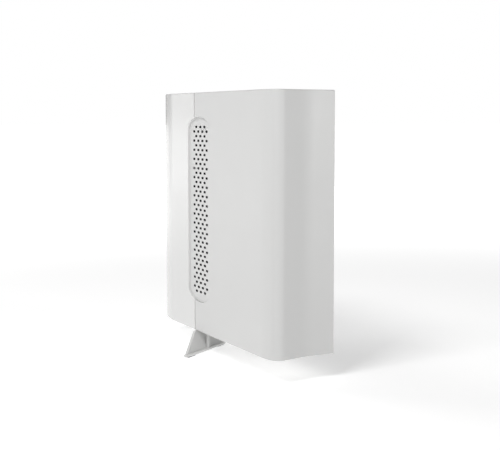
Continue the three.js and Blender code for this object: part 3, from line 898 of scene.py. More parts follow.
@dataclass(frozen=True)
class Scatter:
    """One shape set on given places, such as screws in their holes."""

    places: tuple[tuple[float, float, float], ...]

    def spread(self, shape: bmesh.types.BMesh, finish: Finish, turn: float) -> bmesh.types.BMesh:
        """Sets the shape on every place, each turned a little further than the last.

        Args:
            shape: The shape, drawn round its own origin, used up.
            finish: The finish of the result.
            turn: Degrees about the shape's Z from one place to the next.

        Returns:
            One mesh that holds every copy.
        """
        base = bmesh.new()
        for place in self.places:
            base.verts.new(place)
        holder = scratch_object(base)
        seed = scratch_object(shape)
        tree = bpy.data.node_groups.new("scatter", "GeometryNodeTree")
        tree.is_modifier = True
        face = tree.interface
        face.new_socket("Geometry", in_out="INPUT", socket_type="NodeSocketGeometry")
        face.new_socket("Shape", in_out="INPUT", socket_type="NodeSocketObject")
        face.new_socket("Turn", in_out="INPUT", socket_type="NodeSocketFloat")
        face.new_socket("Geometry", in_out="OUTPUT", socket_type="NodeSocketGeometry")
        given = add(tree, "NodeGroupInput")
        index = add(tree, "GeometryNodeInputIndex")
        angle = add(
            tree,
            "ShaderNodeMath",
            {"operation": "MULTIPLY"},
            links={0: (index, 0), 1: (given, "Turn")},
        )
        spin = add(tree, "ShaderNodeCombineXYZ", links={"Z": (angle, 0)})
        set_shapes(tree, given, finish, {"Points": (given, "Geometry"), "Rotation": (spin, 0)})
        return grow(tree, holder, {"Shape": seed, "Turn": math.radians(turn)})


# ---- the router ----------------------------------------------------------------------------


def node_corners(name: str) -> tuple[Vector, Vector]:
    """The lowest and highest corner of a CAD node, in millimetres."""
    lo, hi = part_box(name)
    return lo / MM, hi / MM


def node_middle(name: str) -> tuple[float, float, float]:
    """The middle of a CAD node's box, in millimetres."""
    lo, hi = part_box(name)
    return tuple((a + b) / 2 / MM for a, b in zip(lo, hi))


@dataclass(frozen=True)
class Envelope:
    """The enclosure's main sizes, shared by the pieces that make it up."""

    length: float = 250.0
    thickness: float = 57.0
    bottom: float = 18.0
    top: float = 218.0
    wall: float = 2.5
    lead_radius: float = 54.0
    lead_sweep: float = 15.0
    corner_radius: float = 7.5
    corner_sweep: float = 92.0
    flare: float = 16.5
    waist_radius: float = 55.0
    waist_sweep: float = 12.3
    nose_radius: float = 110.0
    nose_sweep: float = 26.0
    nose_corner: float = 15.0
    rear_corner: float = 12.0
    rim: float = 0.8
    seam_x: float = -22.4
    seam_width: float = 1.4
    seam_edge: float = 0.35

    @property
    def front(self) -> float:
        """Y of the broad vent face."""
        return -self.thickness / 2

    @property
    def rear(self) -> float:
        """Y of the socket side."""
        return self.thickness / 2

    @property
    def nose(self) -> float:
        """X of the rounded end."""
        return -self.length / 2


@dataclass(frozen=True)
class EnclosurePlan:
    """The enclosure seen from above, drawn by walking round it."""

    size: Envelope
    open_rear: float = 0.0  # how far the rear side is pushed out, to open a cavity there

    def points(self, inset: float) -> list[Point]:
        """Returns the outline moved inwards by inset."""
        s = self.size
        lead_width = s.lead_radius * math.sin(math.radians(s.lead_sweep))
        shoulder = s.corner_radius * (1 - math.sin(math.radians(s.lead_sweep)))
        rear = s.rear - inset if not self.open_rear else s.rear + self.open_rear
        cosine = math.cos(math.radians(s.nose_sweep))
        nose_end = s.front + s.nose_radius * (1 - cosine) + s.nose_corner * cosine
        walk = Walk(s.length / 2 - shoulder - lead_width, s.front + inset, 0.0)
        walk.arc(s.lead_radius - inset, s.lead_sweep, 12)
        walk.arc(s.corner_radius - inset, s.corner_sweep, 36)
        walk.run(s.flare)
        walk.arc(s.waist_radius + inset, -s.waist_sweep, 10)
        walk.until_y(rear)
        walk.heading = 180.0
        walk.until_x(s.nose + s.rear_corner)
        walk.arc(s.rear_corner - inset, 90.0, 20)
        walk.until_y(nose_end)
        walk.arc(s.nose_corner - inset, 90.0 - s.nose_sweep, 20)
        walk.arc(s.nose_radius - inset, s.nose_sweep, 20)
        walk.run(s.length / 2 - shoulder - lead_width - walk.x)
        return walk.track


@dataclass(frozen=True)
class VentPlan:
    """The vent's outline: straight sides and half-ellipse ends."""

    x: float = -13.6
    z: float = 120.5
    width: float = 46.4
    height: float = 154.8
    cap: float = 10.0
    steps: int = 28

    def points(self, inset: float) -> list[Point]:
        """Returns the outline moved inwards by inset."""
        half = self.width / 2 - inset
        cap = self.cap - inset
        straight = self.height / 2 - self.cap
        track = []
        for start, shift in ((0.0, straight), (math.pi, -straight)):
            for step in range(self.steps + 1):
                angle = start + math.pi * step / self.steps
                track.append(
                    (self.x + half * math.cos(angle), self.z + shift + cap * math.sin(angle))
                )
        return track


@dataclass
class Enclosure:
    """The two moulded halves that meet at the seam."""

    size: Envelope = field(default_factory=Envelope)
    vent: VentPlan = field(default_factory=VentPlan)
    vent_rim: float = 0.45
    pair_at: Point = (40.0, 0.0)
    pair_hole: float = 6.3
    light_y: float = 6.5
    light_z: float = 150.0
    light_slot: Point = (3.6, 30.4)

    def whole(self) -> bmesh.types.BMesh:
        """The whole outer form with rounded rims."""
        s = self.size
        return push(EnclosurePlan(s), Axis.Z, rounded(s.bottom, s.top, s.rim, s.rim))

    def side(self, towards: int) -> bmesh.types.BMesh:
        """A tool that keeps one side of the seam and rounds the edge there.

        Args:
            towards: 1 for the main shell's side, -1 for the end cover's.

        Returns:
            The tool.
        """
        s = self.size
        middle = (s.bottom + s.top) / 2
        plan = RoundRect(0.0, middle, s.thickness, s.top - s.bottom, s.rim, 5)
        start = s.seam_x + towards * s.seam_width / 2
        curve = [
            (start + towards * travel, inset - 0.002) for travel, inset in edge_curve(s.seam_edge, 4)
        ]
        far = start + towards * 300
        profile = [*curve, (curve[-1][0] + towards * 0.02, -6.0), (far, -6.0)]
        return push(plan, Axis.X, profile)

    def cavity(self, open_rear: float = 0.0) -> bmesh.types.BMesh:
        """The room inside the walls, open to the rear if that is pushed out."""
        s = self.size
        ends = [(s.bottom + s.wall, s.wall), (s.top - s.wall, s.wall)]
        return push(EnclosurePlan(s, open_rear), Axis.Z, ends)

    def vent_tool(self) -> bmesh.types.BMesh:
        """The opening for the vent plate, with a rounded rim."""
        front = self.size.front
        rim = [(front + t, i) for t, i in edge_curve(-self.vent_rim, 4)]
        profile = [(front - 2.0, -self.vent_rim), *rim, (front + 6.0, 0.0)]
        return push(self.vent, Axis.Y, profile)

    def shell(self) -> bmesh.types.BMesh:
        """The main shell: broad faces, near end, open at the rear for its panel."""
        s = self.size
        cavity = self.cavity(open_rear=5.0)
        hole = push(
            Disc(*self.pair_at, self.pair_hole, 64),
            Axis.Z,
            [*rounded(s.top - 6, s.top, 0.0, -0.3), (s.top + 2, -0.3)],
        )
        return carve(
            self.whole(),
            (Cut.KEEP, self.side(1)),
            (Cut.REMOVE, cavity),
            (Cut.REMOVE, self.vent_tool()),
            (Cut.REMOVE, hole),
        )

    def cover(self) -> bmesh.types.BMesh:
        """The end cover with its rounded nose."""
        s = self.size
        cavity = self.cavity()
        width, height = self.light_slot
        slot = push(
            RoundRect(self.light_y, self.light_z, width, height, width / 2, 8),
            Axis.X,
            [(s.nose - 2, -0.25), *rounded(s.nose, s.nose + 5, -0.25, 0.0)],
        )
        return carve(
            self.whole(),
            (Cut.KEEP, self.side(-1)),
            (Cut.REMOVE, cavity),
            (Cut.REMOVE, self.vent_tool()),
            (Cut.REMOVE, slot),
        )

    def build(self) -> None:
        """Makes and dresses both halves."""
        shell, cover = self.shell(), self.cover()
        Piece("main_shell_form", shell, [SHELL_ABS], Body.ROUTER, Slot.SHELL, ["main_shell"]).make()
        Piece("end_cover_form", cover, [COVER_GLOSS], Body.ROUTER, Slot.COVER, ["end_cover"]).make()


@dataclass
class Vent:
    """The perforated plate sunk into the broad face."""

    plan: VentPlan = field(default_factory=VentPlan)
    face_y: float = -26.7  # the plate's front
    back_y: float = -24.1
    gap: float = 0.1
    rows: int = 37
    row_pitch: float = 3.84
    column_pitch: float = 8.84
    hole: Point = (4.4, 1.9)
    skin: float = 0.8  # the plate is this thin behind its perforated field
    border: float = 2.4  # and full thickness round it
    rim: float = 0.08  # softened edge of each hole
    roundness: float = 0.47  # corner radius of a hole, as a share of its height
    crisp: float = 10.0  # degrees; keeps the front flat up to each rim
    slack: float = 0.01  # added where a depth is compared

    def perforations(self) -> bmesh.types.BMesh:
        """Tools for every hole: staggered rows of three and four."""
        width, height = self.hole
        shape = push(
            RoundRect(0.0, 0.0, width, height, self.roundness * height, 5),
            Axis.Y,
            [
                (self.face_y - 1, -self.rim),
                *rounded(self.face_y, self.face_y + self.skin + 0.5, -self.rim, 0.0, 2),
            ],
        )
        field_of_holes = Lattice(
            self.plan.x, self.plan.z, self.rows, 3, self.row_pitch, self.column_pitch, True
        )
        return field_of_holes.spread(shape, GRILLE_ABS)

    def plate(self) -> bmesh.types.BMesh:
        """The plate with its perforations, the walls of its holes in painted shade."""
        slab = push(self.plan, Axis.Y, [(self.face_y, self.gap), (self.back_y, self.gap)])
        inset = self.gap + self.border
        hollow = push(self.plan, Axis.Y, [(self.face_y + self.skin, inset), (self.back_y + 1, inset)])
        plate = carve(slab, (Cut.REMOVE, hollow), (Cut.REMOVE, self.perforations()))
        # Faces of the hole walls within the perforated field take material 1, the painted shade that
        # stands in for the shade inside each hole.
        reach = self.face_y + self.skin + self.slack
        for face in plate.faces:
            middle = face.calc_center_median()
            inside = abs(middle.x - self.plan.x) < self.plan.width / 2 - inset + 0.2
            wall = abs(face.normal.y) < 0.9 and middle.y < reach
            face.material_index = 1 if wall and inside else 0
        return plate

    def build(self) -> None:
        """Makes and dresses the plate."""
        finishes = [GRILLE_ABS, PAINTED_HOLE_SHADE]
        plate = self.plate()
        Piece(
            "vent_plate", plate, finishes, Body.ROUTER, Slot.SHELL, ["vent_grille"], self.crisp
        ).make()


@dataclass(frozen=True)
class FootPlan:
    """A foot bar seen from above: narrow round tip, square inner end."""

    length: float
    width: float
    tip_radius: float = 2.0
    taper: float = 14.0  # where the bar reaches its full width
    soft: float = 0.6  # cut off each inner corner
    steps: int = 16  # chords round the tip

    def points(self, inset: float) -> list[Point]:
        """Returns the outline moved inwards by inset."""
        middle = self.width / 2
        radius = self.tip_radius - inset
        track = []
        for step in range(self.steps + 1):
            angle = math.pi / 2 + math.pi * step / self.steps
            track.append(
                (self.tip_radius + radius * math.cos(angle), middle + radius * math.sin(angle))
            )
        end = self.length - inset
        far = self.width - inset
        soft = self.soft
        track += [(self.taper, inset), (end - soft, inset), (end, inset + soft)]
        track += [(end, far - soft), (end - soft, far), (self.taper, far)]
        return track


@dataclass
class Leg:
    """A blade leg: foot bar, leaning web, pillar and the tab screwed under the enclosure."""

    name: str
    length: float
    turned: float  # degrees about the enclosure's middle
    tip: Point = (5.3, -45.9)
    angle: float = 129.1
    top: float = 17.7
    foot_width: float = 6.0
    foot_bottom: float = 0.6
    foot_top: float = 2.6
    web: float = 2.6
    lean: float = 0.38
    web_offset: float = 1.5
    tab_from: float = 40.0
    tab_to: float = 66.0
    tab_side: Point = (-14.5, 12.0)
    tab_depth: float = 2.5
    tab_corner: float = 2.5
    pillar: Point = (38.0, 2.2)
    pillar_radius: float = 1.5
    bridge: Point = (5.0, 10.0)  # joins the pillar's head to the tab
    sink: float = 0.8  # how far web and pillar reach into the foot
    web_low: float = 1.6  # where the web's leading edge starts on the foot
    web_high: float = 27.5  # and where it meets the enclosure
    web_edge: float = 0.7

    def place(self) -> Matrix:
        """The leg's own frame in the router's."""
        return (
            Matrix.Rotation(math.radians(self.turned), 4, "Z")
            @ Matrix.Translation((*self.tip, 0.0))
            @ Matrix.Rotation(math.radians(self.angle), 4, "Z")
        )

    def blade(self) -> bmesh.types.BMesh:
        """The leaning web between foot and enclosure."""
        low = self.foot_top - self.sink
        corners = (
            (self.web_low, low),
            (self.length - 0.3, low),
            (max(self.length - 0.3, self.tab_to - 2), self.top),
            (self.web_high, self.top),
        )
        edge = self.web_edge
        sides = rounded(self.web_offset, self.web_offset + self.web, edge, edge, 4)
        solid = push(Facets(corners, 0.8), Axis.Y, sides)
        shear = Matrix.Identity(4)
        shear[1][2] = self.lean
        solid.transform(shear)
        return solid

    def form(self) -> bmesh.types.BMesh:
        """The whole leg in its own frame."""
        foot = push(
            FootPlan(self.length, self.foot_width),
            Axis.Z,
            rounded(self.foot_bottom, self.foot_top, 0.35, 0.6, 4),
        )
        left, right = self.tab_side
        tab_plan = RoundRect(
            (self.tab_from + self.tab_to) / 2,
            (left + right) / 2,
            self.tab_to - self.tab_from,
            right - left,
            self.tab_corner,
            6,
        )
        under_shell = rounded(self.top - self.tab_depth, self.top, 0.5, 0.0)
        tab = push(tab_plan, Axis.Z, under_shell)
        post_plan = Disc(*self.pillar, self.pillar_radius, 28)
        post = push(post_plan, Axis.Z, [(self.foot_top - self.sink, 0.0), (self.top, 0.0)])
        reach = push(RoundRect(self.pillar[0] + 1, 4.0, *self.bridge, 1.2, 5), Axis.Z, under_shell)
        return carve(
            self.blade(), (Cut.ADD, foot), (Cut.ADD, tab), (Cut.ADD, post), (Cut.ADD, reach)
        )

    def build(self) -> None:
        """Makes and dresses the leg."""
        solid = self.form()
        solid.transform(self.place())
        Piece(f"{self.name}_form", solid, [SHELL_ABS], Body.ROUTER, Slot.SHELL, [self.name]).make()


@dataclass
class Screws:
    """Small cross-slot screws, shown by their heads."""

    leg_nodes: tuple[str, ...] = tuple(f"leg_screw_{i}" for i in range(1, 5))
    panel_nodes: tuple[str, ...] = tuple(f"panel_screw_{i}" for i in range(1, 5))
    shank: float = 1.4
    cross_width: float = 0.65
    cross_depth: float = 0.75
    cross_share: float = 1.15  # length of the cross, in head radii

    def head(self, radius: float, height: float) -> bmesh.types.BMesh:
        """One screw, its head's top at Z = 0 and its shank below.

        Args:
            radius: Radius of the head.
            height: Thickness of the head.

        Returns:
            The solid.
        """
        cap = push(Disc(0.0, 0.0, radius, 24), Axis.Z, rounded(-height, 0.0, 0.15, 0.45, 3))
        stem = push(Disc(0.0, 0.0, self.shank, 16), Axis.Z, [(-height - 3.0, 0.0), (-height + 0.2, 0.0)])
        arm, thin = radius * self.cross_share, self.cross_width
        slots = [
            push(RoundRect(0.0, 0.0, *size, 0.2, 2), Axis.Z, [(-self.cross_depth, 0.0), (0.5, 0.0)])
            for size in ((arm, thin), (thin, arm))
        ]
        return carve(cap, (Cut.ADD, stem), *((Cut.REMOVE, slot) for slot in slots))

    def build(self) -> None:
        """Makes both sets, heads down under the tabs and heads out on the rear panel."""
        leg_places = []
        for name in self.leg_nodes:
            x, y, _ = node_middle(name)
            leg_places.append((x, y, -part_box(name)[0].z / MM))
        legs = Scatter(tuple(leg_places)).spread(self.head(2.6, 1.6), ZINC_STEEL, 37.0)
        legs.transform(Matrix.Scale(-1, 4, Vector((0, 0, 1))))
        bmesh.ops.reverse_faces(legs, faces=legs.faces)
        Piece("leg_screw_set", legs, [ZINC_STEEL], Body.ROUTER, Slot.STEEL, self.leg_nodes).make()
        panel_places = []
        for name in self.panel_nodes:
            x, _, z = node_middle(name)
            panel_places.append((x, -z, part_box(name)[1].y / MM))
        panel = Scatter(tuple(panel_places)).spread(self.head(2.9, 1.4), ZINC_STEEL, 52.0)
        panel.transform(Matrix.Rotation(math.radians(-90), 4, "X"))
        Piece("panel_screw_set", panel, [ZINC_STEEL], Body.ROUTER, Slot.STEEL, self.panel_nodes).make()


def span_plan(across: Point, upright: Point, grow_by: float, radius: float) -> RoundRect:
    """A rounded rectangle between two spans.

    Args:
        across: Where it starts and ends sideways.
        upright: Where it starts and ends upwards.
        grow_by: Clearance added on every side.
        radius: Corner radius.

    Returns:
        The plan.
    """
    width = across[1] - across[0] + 2 * grow_by
    height = upright[1] - upright[0] + 2 * grow_by
    return RoundRect(sum(across) / 2, sum(upright) / 2, width, height, radius, 6)


@dataclass
class RearPanel:
    """The rear panel with exhaust slots and the frame round the sockets."""

    rear: float = 28.5
    thickness: float = 2.5
    corner: float = 1.5
    bezel_x: Point = (-15.5, 102.0)
    bezel_z: Point = (33.0, 67.0)
    bezel_corner: float = 1.8
    pocket_corner: float = 2.0  # of the opening that the bezel sits in
    bezel_depth: float = 1.2
    gap: float = 0.3
    slot_size: Point = (2.2, 44.0)
    slot_centre: Point = (45.0, 162.0)
    slot_count: int = 14
    slot_pitch: float = 6.0
    socket_x: tuple[float, ...] = (58.0, 34.0, 15.0, -4.0)
    socket_z: float = 44.0
    socket_size: Point = (15.9, 15.0)
    jack_x: float = 95.0
    jack_size: Point = (9.4, 11.0)
    power: Point = (79.0, 44.0)
    power_radius: float = 4.2
    reset: Point = (79.0, 62.0)
    reset_hole: float = 1.2
    screw_head: float = 3.2
    screw_seat: float = 1.8  # how deep the heads sit

    def through(self, plan: Plan, depth: float = 8.0, flare: float = 0.25) -> bmesh.types.BMesh:
        """A cutter from outside the rear face inwards, with a softened rim.

        Args:
            plan: The opening.
            depth: How deep it goes.
            flare: Rim radius.

        Returns:
            The tool.
        """
        profile = rounded(self.rear - depth, self.rear, 0.0, -flare, 3)
        return push(plan, Axis.Y, [*profile, (self.rear + 2, -flare)])

    def openings(self) -> list[bmesh.types.BMesh]:
        """Cutters for sockets, jack, button and pinhole."""
        clear = 2 * self.gap
        sizes = [(x, self.socket_size) for x in self.socket_x] + [(self.jack_x, self.jack_size)]
        holes: list[Plan] = [
            *(RoundRect(x, self.socket_z, w + clear, h + clear, 0.4, 3) for x, (w, h) in sizes),
            Disc(*self.power, self.power_radius + self.gap, 40),
            Disc(*self.reset, self.reset_hole, 24),
        ]
        return [self.through(plan) for plan in holes]

    def exhaust(self) -> bmesh.types.BMesh:
        """Cutters for the row of exhaust slots."""
        width, height = self.slot_size
        shape = self.through(RoundRect(0.0, 0.0, width, height, width / 2, 5), flare=0.3)
        row = Lattice(*self.slot_centre, 1, self.slot_count, 1.0, self.slot_pitch)
        return row.spread(shape, SHELL_ABS)

    def panel(self) -> bmesh.types.BMesh:
        """The panel plate."""
        lo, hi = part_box("rear_panel")
        across = (lo.x / MM, hi.x / MM)
        upright = (lo.z / MM, hi.z / MM)
        plan = span_plan(across, upright, 0.0, self.corner)
        plate = push(plan, Axis.Y, rounded(self.rear - self.thickness, self.rear, 0.0, 0.35))
        pocket = span_plan(self.bezel_x, self.bezel_z, self.gap, self.pocket_corner)
        tools = [self.through(pocket, flare=0.3), self.exhaust()]
        for name in Screws().panel_nodes:
            x, _, z = node_middle(name)
            seat = Disc(x, z, self.screw_head, 40)
            tools.append(self.through(seat, self.screw_seat, 0.3))
        return carve(plate, *((Cut.REMOVE, tool) for tool in tools))

    def bezel(self) -> bmesh.types.BMesh:
        """The dark frame round the sockets."""
        plan = span_plan(self.bezel_x, self.bezel_z, 0.0, self.bezel_corner)
        face = push(plan, Axis.Y, rounded(self.rear - self.bezel_depth, self.rear, 0.0, 0.25, 3))
        return carve(face, *((Cut.REMOVE, tool) for tool in self.openings()))

    def build(self) -> None:
        """Makes and dresses the panel and the frame."""
        Piece("rear_panel_form", self.panel(), [SHELL_ABS], Body.ROUTER, Slot.SHELL, ["rear_panel"]).make()
        Piece("port_bezel_form", self.bezel(), [DARK_ABS], Body.ROUTER, Slot.DARK, ["port_bezel"]).make()


@dataclass
class Sockets:
    """Network sockets with spring contacts, and the round power jack."""

    nodes: tuple[str, ...] = ("jack_wan", "jack_lan_1", "jack_lan_2", "jack_lan_3")
    mouth: Point = (12.0, 9.0)
    mouth_depth: float = 13.0
    latch: Point = (5.0, 2.0)
    contacts: int = 8
    contact_pitch: float = 1.02
    contact_width: float = 0.5
    jack_bore: float = 3.2
    jack_depth: float = 12.0
    jack_pin: float = 1.0

    def socket(self, name: str) -> bmesh.types.BMesh:
        """One socket body with its mouth and latch notch.

        Args:
            name: The CAD node it stands for.

        Returns:
            The solid, with gold contacts as material 1.
        """
        lo, hi = node_corners(name)
        x, z, face = (lo.x + hi.x) / 2, (lo.z + hi.z) / 2, hi.y
        body = push(
            RoundRect(x, z, hi.x - lo.x, hi.z - lo.z, 0.4, 3),
            Axis.Y,
            rounded(lo.y, face, 0.2, 0.25, 3),
        )
        width, height = self.mouth
        notch_width, notch_drop = self.latch
        mouth = push(
            RoundRect(x, z, width, height, 0.3, 2),
            Axis.Y,
            [*rounded(face - self.mouth_depth, face, 0.0, -0.3, 3), (face + 2, -0.3)],
        )
        notch = push(
            RoundRect(x, z - height / 2, notch_width, 2 * notch_drop, 0.3, 2),
            Axis.Y,
            [(face - self.mouth_depth, 0.0), (face + 2, 0.0)],
        )
        return merged(carve(body, (Cut.REMOVE, mouth), (Cut.REMOVE, notch)), self.springs(x, z, face))

    def springs(self, x: float, z: float, face: float) -> bmesh.types.BMesh:
        """The sloping spring contacts of one socket.

        Args:
            x: Middle of the socket.
            z: Height of its middle.
            face: Y of its face.

        Returns:
            The contacts as material 1.
        """
        inner = face - self.mouth_depth
        ceiling = self.mouth[1] / 2
        path = Facets(
            (
                (inner - 0.2, ceiling - 3.6),
                (inner + 0.5, ceiling - 3.6),
                (face - 3.0, ceiling - 0.3),
                (face - 3.0, ceiling + 0.1),
                (face - 3.6, ceiling + 0.1),
                (inner - 0.2, ceiling - 3.1),
            ),
            0.0,
            1,
        )
        half = self.contact_width / 2
        spring = push(path, Axis.X, [(-half, 0.0), (half, 0.0)])
        row = Lattice(x, z, 1, self.contacts, 1.0, self.contact_pitch)
        return painted(row.spread(spring, GOLD_CONTACT), 1)

    def power_jack(self) -> bmesh.types.BMesh:
        """The power jack: dark body, steel pin as material 1."""
        lo, hi = node_corners("dc_jack")
        x, z, face = (lo.x + hi.x) / 2, (lo.z + hi.z) / 2, hi.y
        body = push(
            RoundRect(x, z, hi.x - lo.x, hi.z - lo.z, 0.5, 3),
            Axis.Y,
            rounded(lo.y, face, 0.2, 0.3, 3),
        )
        bore = push(
            Disc(x, z, self.jack_bore, 40),
            Axis.Y,
            [*rounded(face - self.jack_depth, face, 0.0, -0.4, 4), (face + 2, -0.4)],
        )
        pin = push(
            Disc(x, z, self.jack_pin, 24),
            Axis.Y,
            rounded(face - self.jack_depth - 1, face - 2.0, 0.0, 0.6, 4),
        )
        return merged(carve(body, (Cut.REMOVE, bore)), painted(pin, 1))

    def build(self) -> None:
        """Makes and dresses every socket."""
        for name in self.nodes:
            finishes = [DARK_ABS, GOLD_CONTACT]
            Piece(f"{name}_form", self.socket(name), finishes, Body.ROUTER, Slot.DARK, [name]).make()
        finishes = [DARK_ABS, ZINC_STEEL]
        Piece("dc_jack_form", self.power_jack(), finishes, Body.ROUTER, Slot.DARK, ["dc_jack"]).make()


@dataclass
class Buttons:
    """The two caps a finger presses, and the light guide in the nose."""

    power_radius: float = 4.2
    power_flange: float = 5.4
    pair_radius: float = 6.0
    pair_flange: float = 7.4
    dish: float = 0.35
    rim: float = 0.5  # rounded edge of a cap
    panel_inner: float = 26.0  # Y of the rear panel's inner face
    roof_inner: float = 215.5  # Z of the roof's inner face
    stem_radius: float = 1.8
    pair_stem_radius: float = 2.0
    notch_radius: float = 2.2
    notch_at: float = 8.0
    light_radius: float = 1.6
    light_length: float = 30.0
    light_lip: float = 1.2

    def dished(self, edge: float, radius: float) -> Profile:
        """Rings that end a cap in a shallow dish.

        Args:
            edge: Height of the cap's rim.
            radius: Radius of the cap.

        Returns:
            Pairs of height and inset, from the rounded rim to the middle.
        """
        rim = [(edge - t, i) for t, i in edge_curve(self.rim, 4)][::-1]
        bowl = []
        steps = 6
        for step in range(1, steps + 1):
            part = step / steps
            inset = self.rim + part * (radius - self.rim - 0.2)
            bowl.append((edge - self.dish * math.sin(math.pi / 2 * part), inset))
        return [*rim, *bowl]

    def power_cap(self) -> bmesh.types.BMesh:
        """The power button."""
        lo, hi = node_corners("power_button")
        x, z = (lo.x + hi.x) / 2, (lo.z + hi.z) / 2
        cap = push(
            Disc(x, z, self.power_radius, 64),
            Axis.Y,
            [(self.panel_inner - 2.0, 0.0), *self.dished(hi.y, self.power_radius)],
        )
        lip = rounded(self.panel_inner - 1.8, self.panel_inner - 0.3, 0.2, 0.2, 2)
        flange = push(Disc(x, z, self.power_flange, 48), Axis.Y, lip)
        reach = rounded(lo.y, self.panel_inner - 1.0, 0.3, 0.0, 3)
        stem = push(Disc(x, z, self.stem_radius, 24), Axis.Y, reach)
        return carve(cap, (Cut.ADD, flange), (Cut.ADD, stem))

    def pair_cap(self) -> bmesh.types.BMesh:
        """The pairing button in the top face."""
        lo, hi = node_corners("pair_button")
        x, y = (lo.x + hi.x) / 2, (lo.y + hi.y) / 2
        under = self.roof_inner
        cap = push(
            Disc(x, y, self.pair_radius, 64),
            Axis.Z,
            [(under - 1.8, 0.0), *self.dished(hi.z, self.pair_radius)],
        )
        lip = rounded(under - 1.6, under - 0.3, 0.2, 0.2, 2)
        flange = push(Disc(x, y, self.pair_flange, 48), Axis.Z, lip)
        through_lip = [(under - 3.0, 0.0), (under - 0.1, 0.0)]
        notches = [
            push(Disc(x + dx, y, self.notch_radius, 24), Axis.Z, through_lip)
            for dx in (-self.notch_at, self.notch_at)
        ]
        ring = carve(flange, *((Cut.REMOVE, notch) for notch in notches))
        reach = rounded(lo.z, under - 1.0, 0.3, 0.0, 3)
        stem = push(Disc(x, y, self.pair_stem_radius, 24), Axis.Z, reach)
        return carve(cap, (Cut.ADD, ring), (Cut.ADD, stem))

    def light(self) -> bmesh.types.BMesh:
        """The upright light guide in the nose."""
        lo, hi = node_corners("status_light")
        y, z = (lo.y + hi.y) / 2, (lo.z + hi.z) / 2
        width, length = 2 * self.light_radius, self.light_length
        lip = self.light_lip
        lens = push(
            RoundRect(y, z, width, length, self.light_radius, 10),
            Axis.X,
            rounded(lo.x, hi.x - 0.2, 0.5, 0.0, 4),
        )
        foot = push(
            RoundRect(y, z, width + 2 * lip, length + 2 * lip, self.light_radius + lip, 10),
            Axis.X,
            rounded(lo.x + 2.8, lo.x + 4.3, 0.2, 0.2, 2),
        )
        return carve(lens, (Cut.ADD, foot))

    def build(self) -> None:
        """Makes and dresses the caps and the light guide."""
        Piece(
            "power_cap_form", self.power_cap(), [DARK_ABS], Body.POWER_CAP, Slot.DARK, ["power_button"]
        ).make()
        Piece(
            "pair_cap_form", self.pair_cap(), [COVER_GLOSS], Body.PAIR_CAP, Slot.COVER, ["pair_button"]
        ).make()
        Piece(
            "status_light_form", self.light(), [LIGHT_GUIDE], Body.ROUTER, Slot.LIGHT, ["status_light"]
        ).make()


@dataclass
class Inside:
    """The CAD nodes that stay as they are, and the finish of each."""

    finishes: dict[str, Finish] = field(
        default_factory=lambda: {
            "seam_gasket": TPE_GREY,
            "thermal_pad": TPE_GREY,
            "leg_pad": TPE_GREY,
            "vent_screen": NYLON_SCREEN,
            "reset_button": DARK_ABS,
            "board_screw": ZINC_STEEL,
            "heatsink_screw": ZINC_STEEL,
            "shield_can": ZINC_STEEL,
            "heatsink": EXTRUDED_ALUMINIUM,
            "main_board": BOARD_FR4,
            "pair_board": BOARD_FR4,
            "light_board": BOARD_FR4,
            "antenna": BOARD_FR4,
            "processor": CHIP_EPOXY,
            "memory_chip": CHIP_EPOXY,
            "capacitor": CHIP_EPOXY,
            "line_transformer": CHIP_EPOXY,
            "power_switch": CHIP_EPOXY,
            "reset_switch": CHIP_EPOXY,
            "pair_switch": CHIP_EPOXY,
        }
    )
    spare: Finish = SHELL_ABS

    def build(self, nodes: dict[str, bpy.types.Object]) -> None:
        """Gives every CAD node a procedural material.

        Args:
            nodes: The frame's nodes by name.
        """
        for name, node in nodes.items():
            fits = [key for key in self.finishes if name.startswith(key)]
            finish = self.finishes[max(fits, key=len)] if fits else self.spare
            for place in node.material_slots:
                place.material = finish.material()
        LOG.info("carried over: %d nodes dressed", len(nodes))


# ---- the studio ----------------------------------------------------------------------------


@dataclass(frozen=True)
class Softbox:
    """A soft rectangular light that looks at the middle of the router."""

    name: str
    heading: float  # degrees from +X, seen from above
    elevation: float
    distance: float  # metres
    width: float
    height: float
    power: float

    def build(self, target: Vector) -> None:
        """Hangs the light.

        Args:
            target: The point it faces.
        """
        lamp = bpy.data.lights.new(self.name, "AREA")
        lamp.shape = "RECTANGLE"
        lamp.size = self.width
        lamp.size_y = self.height
        lamp.energy = self.power
        away = direction(self.heading, self.elevation)
        thing = bpy.data.objects.new(self.name, lamp)
        thing.location = target + away * self.distance
        thing.rotation_euler = (-away).to_track_quat("-Z", "Y").to_euler()
        thing.visible_camera = False
        bpy.context.scene.collection.objects.link(thing)


